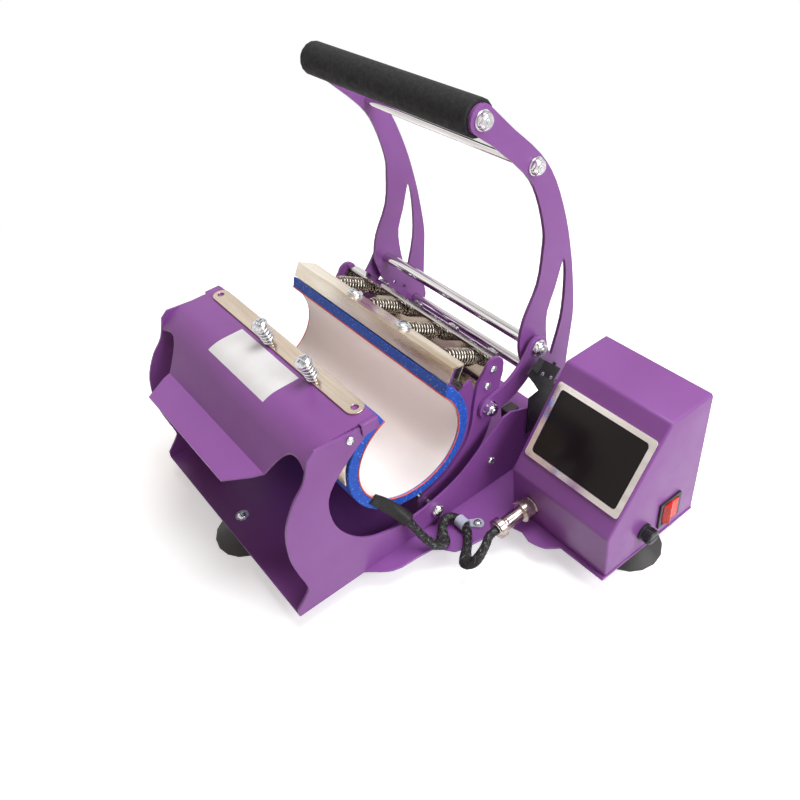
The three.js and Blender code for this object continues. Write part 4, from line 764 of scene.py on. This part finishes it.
leaning = Vector((0, -math.sin(FRONT_LEAN), math.cos(FRONT_LEAN)))
seats = [spot(x, *FRONT_SEAT) for x in FRONT_SCREWS]
screwed("front_screws", "base", [(seat + leaning * FRONT_LENGTH / 1000, leaning) for seat in seats],
        head=0.0068, height=0.0046, length=0.0245, washer=0.0062,
        replaced=("front_screw_left", "front_screw_right"))
start = FRONT_COIL["gaps"][0] + FRONT_COIL["radius"] * math.sin(FRONT_LEAN)
coil_starts = [(seat + leaning * start / 1000, leaning) for seat in seats]
front_coils = coiled("front_coils", coil_starts, zinc_plating,
                     length=FRONT_LENGTH - start - FRONT_COIL["gaps"][1], radius=FRONT_COIL["radius"],
                     end_radius=FRONT_COIL["radius"], wire=FRONT_COIL["wire"], turns=FRONT_COIL["turns"])
fitted(front_coils, "base", "zinc", "front_spring_left", "front_spring_right")

# Moving jaw: two side plates and a bent back shell of the same purple sheet, screwed together through the
# side plates' horns. The jaw turns on the hinge rod and carries the rear half of the mat.
HORN_FACE = 106.6
HORN_SCREWS = ((220.05, 114.4), (212.9, 101.1))
for side in ("jaw_side_left", "jaw_side_right"):
    dress(side, "jaw", powder_coat, 0.0008)
dress("jaw_shell", "jaw", powder_coat, 0.0003)
screwed("horn_screws", "jaw", on_both_sides(HORN_FACE, HORN_SCREWS), head=0.0034, height=0.0024,
        length=0.004)

# Insulation: a folded sheet of dark felt between two bright steel edges, laid over the mat under the spring
# channel, and showing at its ends
SLIDE = Vector((0, 0.8660254, -0.5))
LIFT = Vector((0, 0.5, 0.8660254))
LAYER_RUN = [(10.5, -3.2), (19, -6.5), (28, -12.2), (36, -19.5)]
LAYER_HALF = 103.3
dark_felt = surface("dark_felt", ((900, 4), (0.02, 0.018, 0.016), (0.09, 0.08, 0.07)), 0.9)
LAYERS = [("felt", 0, 2.2, dark_felt, "foam"), ("steel", 2.4, 0.6, polished_steel, "polished_steel"),
          ("upper_felt", 3.2, 1.6, dark_felt, "foam"),
          ("upper_steel", 5.0, 0.6, polished_steel, "polished_steel")]


def in_jaw(x, back, up):
    """A place in millimetres along the jaw's slide, back from its strip, and square to it"""
    return spot(x, 168.9, 131.9) + SLIDE * (back / 1000) + LIFT * (up / 1000)


run = [Vector(place) for place in LAYER_RUN]
ways = [(after - before).normalized() for before, after in zip([run[0], *run[:-1]], [*run[1:], run[-1]])]
lifts = [Vector((-way.y, way.x)) for way in ways]
for name, low, thick, finish, slot in LAYERS:
    under = [place + lift * low for place, lift in zip(run, lifts)]
    over = [place + lift * (low + thick) for place, lift in zip(run, lifts)]
    ends = [[in_jaw(side * LAYER_HALF, *place) for place in under + over[::-1]] for side in (-1, 1)]
    strips = [(i, i + 1, 6 - i, 7 - i) for i in range(3)]
    fitted(slab(name + "_layer", ends, finish, strips), "jaw", slot)

# Spring channel: a bent bar of sheet steel across the jaw's back. Four long bolts slide in it with lock
# nuts at their rear, each in a barrel-shaped coil that pushes the strip onto the tumbler.
GUIDE_PLACES = (-78, -26, 26, 78)
GUIDE_LIFT = 7.2
COIL_ENDS = (20, 63)
bright_steel = surface("bright_steel", ((14, 2, (1, 3, 3)), (0.5, 0.47, 0.46), (0.8, 0.77, 0.75)),
                       ((60, 3), 0.06, 0.14), metal=1)
black_steel = surface("black_steel", ((300, 3), (0.03, 0.027, 0.025), (0.12, 0.11, 0.1)),
                      ((300, 3), 0.25, 0.4), metal=1)
spring_steel = surface("spring_steel", ((300, 3), (0.24, 0.2, 0.16), (0.66, 0.6, 0.52)),
                       ((500, 2), 0.12, 0.28), metal=1)
dress("jaw_channel", "jaw", bright_steel, 0.0003)
for bolt in ("guide_bolt_1", "guide_bolt_2", "guide_bolt_3", "guide_bolt_4"):
    dress(bolt, "sprung_strip", black_steel, 0.0003)
coil_starts = [(in_jaw(x, COIL_ENDS[0], GUIDE_LIFT), SLIDE) for x in GUIDE_PLACES]
jaw_coils = coiled("jaw_coils", coil_starts, spring_steel, length=COIL_ENDS[1] - COIL_ENDS[0], radius=7,
                   end_radius=4.6, wire=0.95, turns=13.0)
fitted(jaw_coils, "jaw", "zinc", "jaw_spring_1", "jaw_spring_2", "jaw_spring_3", "jaw_spring_4")
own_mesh(jaw_coils)

# Sprung strip: a bent strip of bright steel along the mat's rear lip, with a painted reflection that turns
# it brown toward its right end, two big screws in dished washers and a small purple tab at that end.
STRIP_HALF = 111.5
END_SLANT = 0.42
STRIP_SCREWS = (-34.67, 34.67)
STRIP_SEAT = (12, 13.9)
STRIP_REFLECTION_RAMP = (-0.16, 0.0, 0.65, 0.45)
STRIP_TAB = {"section": [(1.7, -2), (5, -2), (5, 12), (1.7, 12)], "ends": (109.2, 110.2)}


# Painted reflection: the strip's colour turns brown toward its right end, for the dark surroundings
# mirrored in the steel, in soft random patches.
def strip_painted_reflection(tree):
    ramped = ramp(tree, part_of(tree, on_piece(tree), "X"), *STRIP_REFLECTION_RAMP)
    return patchy(tree, ramped, 1.1, 22, 4, (0.5, 3, 3))


steel_with_painted_reflection = surface("steel_with_painted_reflection", (strip_painted_reflection, (0.56, 0.43, 0.28), (0.92, 0.83, 0.7)),
                     ((40, 3, DRAWN), 0.2, 0.36), metal=1)
strip = dress("jaw_strip", "sprung_strip", steel_with_painted_reflection, 0.0004)
corner = in_jaw(STRIP_HALF, 0, 0)
for vert in strip.data.vertices:
    back = (vert.co - corner).dot(SLIDE)
    if vert.co.x > corner.x - 0.001:
        vert.co.x -= END_SLANT * max(back - 0.002, 0)
screwed("strip_screws", "sprung_strip", [(in_jaw(x, *STRIP_SEAT), LIFT) for x in STRIP_SCREWS],
        head=0.0072, height=0.005, length=0.006, washer=0.0078,
        replaced=("strip_screw_left", "strip_screw_right"))
ends = [[in_jaw(x, back, up) for back, up in STRIP_TAB["section"]] for x in STRIP_TAB["ends"]]
fitted(slab("strip_end_tab", ends, powder_coat), "sprung_strip", "powder_coat")

# Lever arms: two long curved plates with slots, purple like the base, joined by plated tubes and bars. Lock
# nuts hold the bars' ends outside the arms.
BAR_ENDS = ((222.6, 318), (270.5, 269))
BAR_END_FACE = 103.2
GUIDE_NUTS = (65.3, 79.9)
NUT_CHAMFER = (0.84, 1.6, 1.004)
NUT_COLLAR = (0.62, 0.78, 1.28)
BOLT_POINT = 0.75
for arm in ("arm_left", "arm_right"):
    dress(arm, "lever", powder_coat, 0.0008)
for bar in ("grip_tube", "upper_tie_bar", "link_bar"):
    dress(bar, "lever", bar_steel, 0.0003)

tree, size = shape_tree("hex_nut", {"Nut Radius": 0.0062, "Nut Height": 0.005, "Bolt Radius": 0.003,
                                    "Bolt Out": 0.0015, "Washer Radius": 0.0075})


def cone(tree, sides, top, bottom, depth):
    taper = {"Vertices": sides, "Radius Top": top, "Radius Bottom": bottom, "Depth": depth}
    return out(tree, "GeometryNodeMeshCone", taper)


radius, height = size["Nut Radius"], size["Nut Height"]
six = moved(tree, disc_of(tree, 6, radius, height), vector_of(tree, z=times(tree, height, 0.5)))
top, bottom, rise = NUT_CHAMFER
chamfer = cone(tree, 48, times(tree, radius, top), times(tree, radius, bottom), times(tree, height, rise))
hexagon = node(tree, "GeometryNodeMeshBoolean", {"Mesh 2": six}, operation="INTERSECT")
tree.links.new(chamfer, hexagon.inputs["Mesh 2"])
top, bottom, rise = NUT_COLLAR
collar_height = times(tree, height, rise)
collar = cone(tree, 32, times(tree, radius, top), times(tree, radius, bottom), collar_height)
bolt_end = cone(tree, 24, times(tree, size["Bolt Radius"], BOLT_POINT), size["Bolt Radius"],
                maths(tree, "ADD", collar_height, size["Bolt Out"]))
washer = disc_of(tree, 36, size["Washer Radius"], WASHER_THICK)
close_at_places(tree, joined(tree, hexagon.outputs[0], collar, bolt_end, washer), size)
nut_tree = tree


def nutted(name, body, places, nut, height, beyond, washer, bolt=0.003, finish=zinc_plating):
    sizes = {"Nut Radius": nut, "Nut Height": height, "Bolt Radius": bolt, "Bolt Out": beyond,
             "Washer Radius": washer}
    made = grown(name, nut_tree, places_mesh(name + "_places", places), finish, sizes)
    return fitted(made, body, "zinc")


on_bolts = [(in_jaw(x, back, GUIDE_LIFT), SLIDE) for x in GUIDE_PLACES for back in GUIDE_NUTS]
nutted("guide_nuts", "sprung_strip", on_bolts, nut=0.0072, height=0.0055, beyond=0.002, washer=0.0082)
nutted("bar_nuts", "lever", on_both_sides(BAR_END_FACE, BAR_ENDS), nut=0.0062, height=0.0048,
       beyond=0.0008, washer=0.007)

# Grip: a thick sleeve of black foam rubber, matt and finely pored, with softly rounded ends. It is pushed
# onto the lever's tube and holds there by itself.
grip_foam = surface("grip_foam", ((600, 4), (0.012, 0.011, 0.012), (0.03, 0.029, 0.03)),
                    ((300, 4), 0.62, 0.85), ((1100, 4), 0.5, 0.0004), specular=0.25)
dress("foam_grip", "lever", grip_foam, 0.0022)

# Links: two short bent plates of the same purple steel that tie the lever to the jaw, with lock nuts at
# both pivots. A small block of black rubber stops them.
LINK_TOP = (110.9, [(267, 112.5)])
LINK_FOOT = (110.6, [(211, 80)])
for link in ("link_left", "link_right"):
    dress(link, "links", powder_coat, 0.0006)
for name, body, pivot in (("link_top_nuts", "lever", LINK_TOP), ("link_foot_nuts", "jaw", LINK_FOOT)):
    nutted(name, body, on_both_sides(*pivot), nut=0.0062, height=0.0048, beyond=0.001, washer=0.0072)
dress("link_stop", "base", black_rubber, 0.0008, 50)

# Travel switch: a small black microswitch on a black bracket, worked by the closing link's bar, with a
# short black plunger
SWITCH_FACE = 127.3
SWITCH_PINS = ((255.0, 100.7), (264.5, 91.4))
black_plastic = surface("black_plastic", ((300, 3), (0.01, 0.01, 0.011), (0.022, 0.022, 0.024)),
                        ((500, 3), 0.34, 0.5))
dress("switch_bracket", "base", black_plastic, 0.0003)
dress("limit_switch", "base", black_plastic)
screwed("switch_pins", "base", [(spot(SWITCH_FACE, y, z), (1, 0, 0)) for y, z in SWITCH_PINS],
        head=0.0018, height=0.0008, length=0.002, shank=0.001, washer=0.001)
dress("switch_plunger", "plunger", black_plastic, 0.0002)

# Control box: a sheet steel housing bent over its front slope, top and sides, open below, with a flat rear
# panel let into it. The outer bends are rounded.
dress("control_box_shell", "base", powder_coat, 0.0003, 30, 0.0022)
dress("box_rear_panel", "base", powder_coat)

# Display: a bezel of bright brushed steel round a dark glass screen, let into the housing's slope, with
# the green driver board inside the box.
SLOPE = math.radians(53.47)
SLOPE_OUT = Vector((0, -math.sin(SLOPE), math.cos(SLOPE)))
BEZEL_CORNER = 0.0026
bezel_steel = surface("bezel_steel", ((40, 3, DRAWN), (0.68, 0.62, 0.58), (0.82, 0.77, 0.73)),
                      ((200, 3), 0.1, 0.18), metal=1)
screen_glass = surface("screen_glass", ((8, 2), (0.012, 0.009, 0.008), (0.024, 0.018, 0.016)),
                       ((10, 2), 0.12, 0.2), specular=0.2)
board_lacquer = surface("board_lacquer", ((60, 2), (0.01, 0.08, 0.03), (0.02, 0.12, 0.05)),
                        ((200, 2), 0.3, 0.45))
bezel = dress("display_bezel", "base", bezel_steel, 0.0004)
shape = bmesh.new()
shape.from_mesh(bezel.data)
corners = [edge for edge in shape.edges
           if abs((edge.verts[0].co - edge.verts[1].co).normalized().dot(SLOPE_OUT)) > 0.99]
bmesh.ops.bevel(shape, geom=corners, offset=BEZEL_CORNER, segments=5, affect="EDGES", profile=0.5)
shape.to_mesh(bezel.data)
shape.free()
dress("display_screen", "base", screen_glass)
dress("control_board", "base", board_lacquer)

# Mains switch: a black moulded frame snapped into the box's right side, with a red rocker that is lit from
# inside and stands raised at its front
dress("rocker_frame", "base", black_plastic, 0.0005)
red_plastic = surface("red_plastic", ((50, 3), (0.72, 0.014, 0.008), (0.84, 0.035, 0.014)),
                      ((200, 3), 0.2, 0.32))
dress("rocker", "switch_rocker", red_plastic, 0.0008)

# Heater plug: a plated round plug with a knurled ring on the socket in the box's front, and a clamp that
# grips the cable's sleeve
PLUG_X, PLUG_Z = 171, 19
plug_metal = surface("plug_metal", ((120, 3), (0.3, 0.24, 0.21), (0.74, 0.63, 0.58)),
                     ((300, 3), 0.1, 0.2), metal=1)
for name in ("heater_socket", "heater_plug"):
    dress(name, "base", plug_metal, 0.0004)
tree, size = shape_tree("knurled_ring", {
    "Count": 40, "Ring Radius": 0.0082, "Ring Length": 0.008, "Rib Width": 0.0007})
sleeve = disc_of(tree, 64, size["Ring Radius"], size["Ring Length"])
count = out(tree, "FunctionNodeFloatToInt", {0: size["Count"]})
circle = out(tree, "GeometryNodeMeshCircle", {"Vertices": count, "Radius": size["Ring Radius"]})
rib = vector_of(tree, size["Rib Width"], size["Rib Width"], times(tree, size["Ring Length"], 0.86))
rib = out(tree, "GeometryNodeMeshCube", {"Size": rib})
place = out(tree, "GeometryNodeInputPosition")
outward = out(tree, "FunctionNodeAlignEulerToVector", {"Vector": place}, axis="X")
ribs = out(tree, "GeometryNodeInstanceOnPoints", {"Points": circle, "Instance": rib, "Rotation": outward})
ribs = out(tree, "GeometryNodeRealizeInstances", {"Geometry": ribs})
close_at_places(tree, joined(tree, sleeve, ribs), size)
knurl_tree = tree


def knurled(name, body, place, finish, slot, count, radius, length, rib):
    sizes = {"Count": count, "Ring Radius": radius, "Ring Length": length, "Rib Width": rib}
    made = grown(name, knurl_tree, places_mesh(name + "_places", [place]), finish, sizes)
    return fitted(made, body, slot)


knurled("plug_ring", "base", (spot(PLUG_X, 191.5, PLUG_Z), (0, 1, 0)), plug_metal, "zinc",
        count=36, radius=0.0088, length=0.009, rib=0.0007)
knurled("clamp_ring", "base", (spot(PLUG_X, 163.4, PLUG_Z), (0, 1, 0)), plug_metal, "zinc",
        count=4, radius=0.0086, length=0.0052, rib=0.0004)
nutted("panel_nut", "base", [(spot(PLUG_X, 206, PLUG_Z), (0, -1, 0))], nut=0.0112, height=0.004, beyond=0.0,
       washer=0.0118, bolt=0.0088, finish=plug_metal)
screwed("plug_screw", "base", [(spot(PLUG_X + 4, 168, PLUG_Z + 7.2), (0.5, 0, 0.87))],
        head=0.0022, height=0.0016, length=0.002, finish=plug_metal)

# Fuse and mains inlet: a screw-capped fuse holder beside the switch and a recessed inlet in the rear panel,
# both black plastic
dress("fuse_holder", "base", black_plastic)
dress("fuse_cap", "cap_of_fuse", black_plastic)
knurled("cap_ribs", "cap_of_fuse", (spot(257.2, 242, 21.5), (1, 0, 0)), black_plastic, "black_plastic",
        count=18, radius=0.0062, length=0.0055, rib=0.0012)
dress("power_inlet", "base", black_plastic)

# Cable boot: the sleeve of black braid where the wires come out of the mat. It spreads flat over the mat's
# end and closes round the cable.
BOOT_ROUTE = [(112.9, 86, 66.5), (114.3, 92, 58.5), (116.6, 97.5, 50.5), (119.4, 101.8, 43.8),
              (122.2, 105, 38.9), (124.9, 107.4, 34.6)]
BOOT_WIDE = (4.6, 5.4, 5.8, 5.9, 6.1, 6.3)
BOOT_THIN = (0.9, 1.4, 2.3, 3.6, 5.2, 6.1)
BOOT_STEPS = 4
BOOT_SIDES = 32
BOOT_WALL = 0.0007
boot_path = smooth_route(BOOT_ROUTE, BOOT_STEPS)
along_boot = np.arange(len(boot_path)) / BOOT_STEPS
wide, thin = (np.interp(along_boot, range(len(BOOT_ROUTE)), sizes) / 1000
              for sizes in (BOOT_WIDE, BOOT_THIN))
boot_mesh = hose_mesh("cable_boot", boot_path, wide, thin, BOOT_SIDES, Vector((1, 0, 0)), False)
boot = shown("cable_boot_piece", boot_mesh, braid_sleeve)
wall = boot.modifiers.new("wall", "SOLIDIFY")
wall.thickness = BOOT_WALL
wall.offset = -1
fitted(boot, "base", "rubber", "cable_boot")

# Cable clip: a loop of clear nylon round the cable between its two bends, with a small screw that holds
# it on the base plate.
CLIP_SCREW = (145.4, 162.1, 3.5)
nylon = surface("milky_nylon", ((60, 2), (0.62, 0.65, 0.78), (0.72, 0.74, 0.86)), 0.3)
nylon.node_tree.nodes["Principled BSDF"].inputs["Transmission Weight"].default_value = 0.35
dress("cable_clip", "base", nylon, 0.0002)
screwed("clip_screw", "base", [(spot(*CLIP_SCREW), (0, 0, 1))], head=0.0034, height=0.0024, length=0.003)
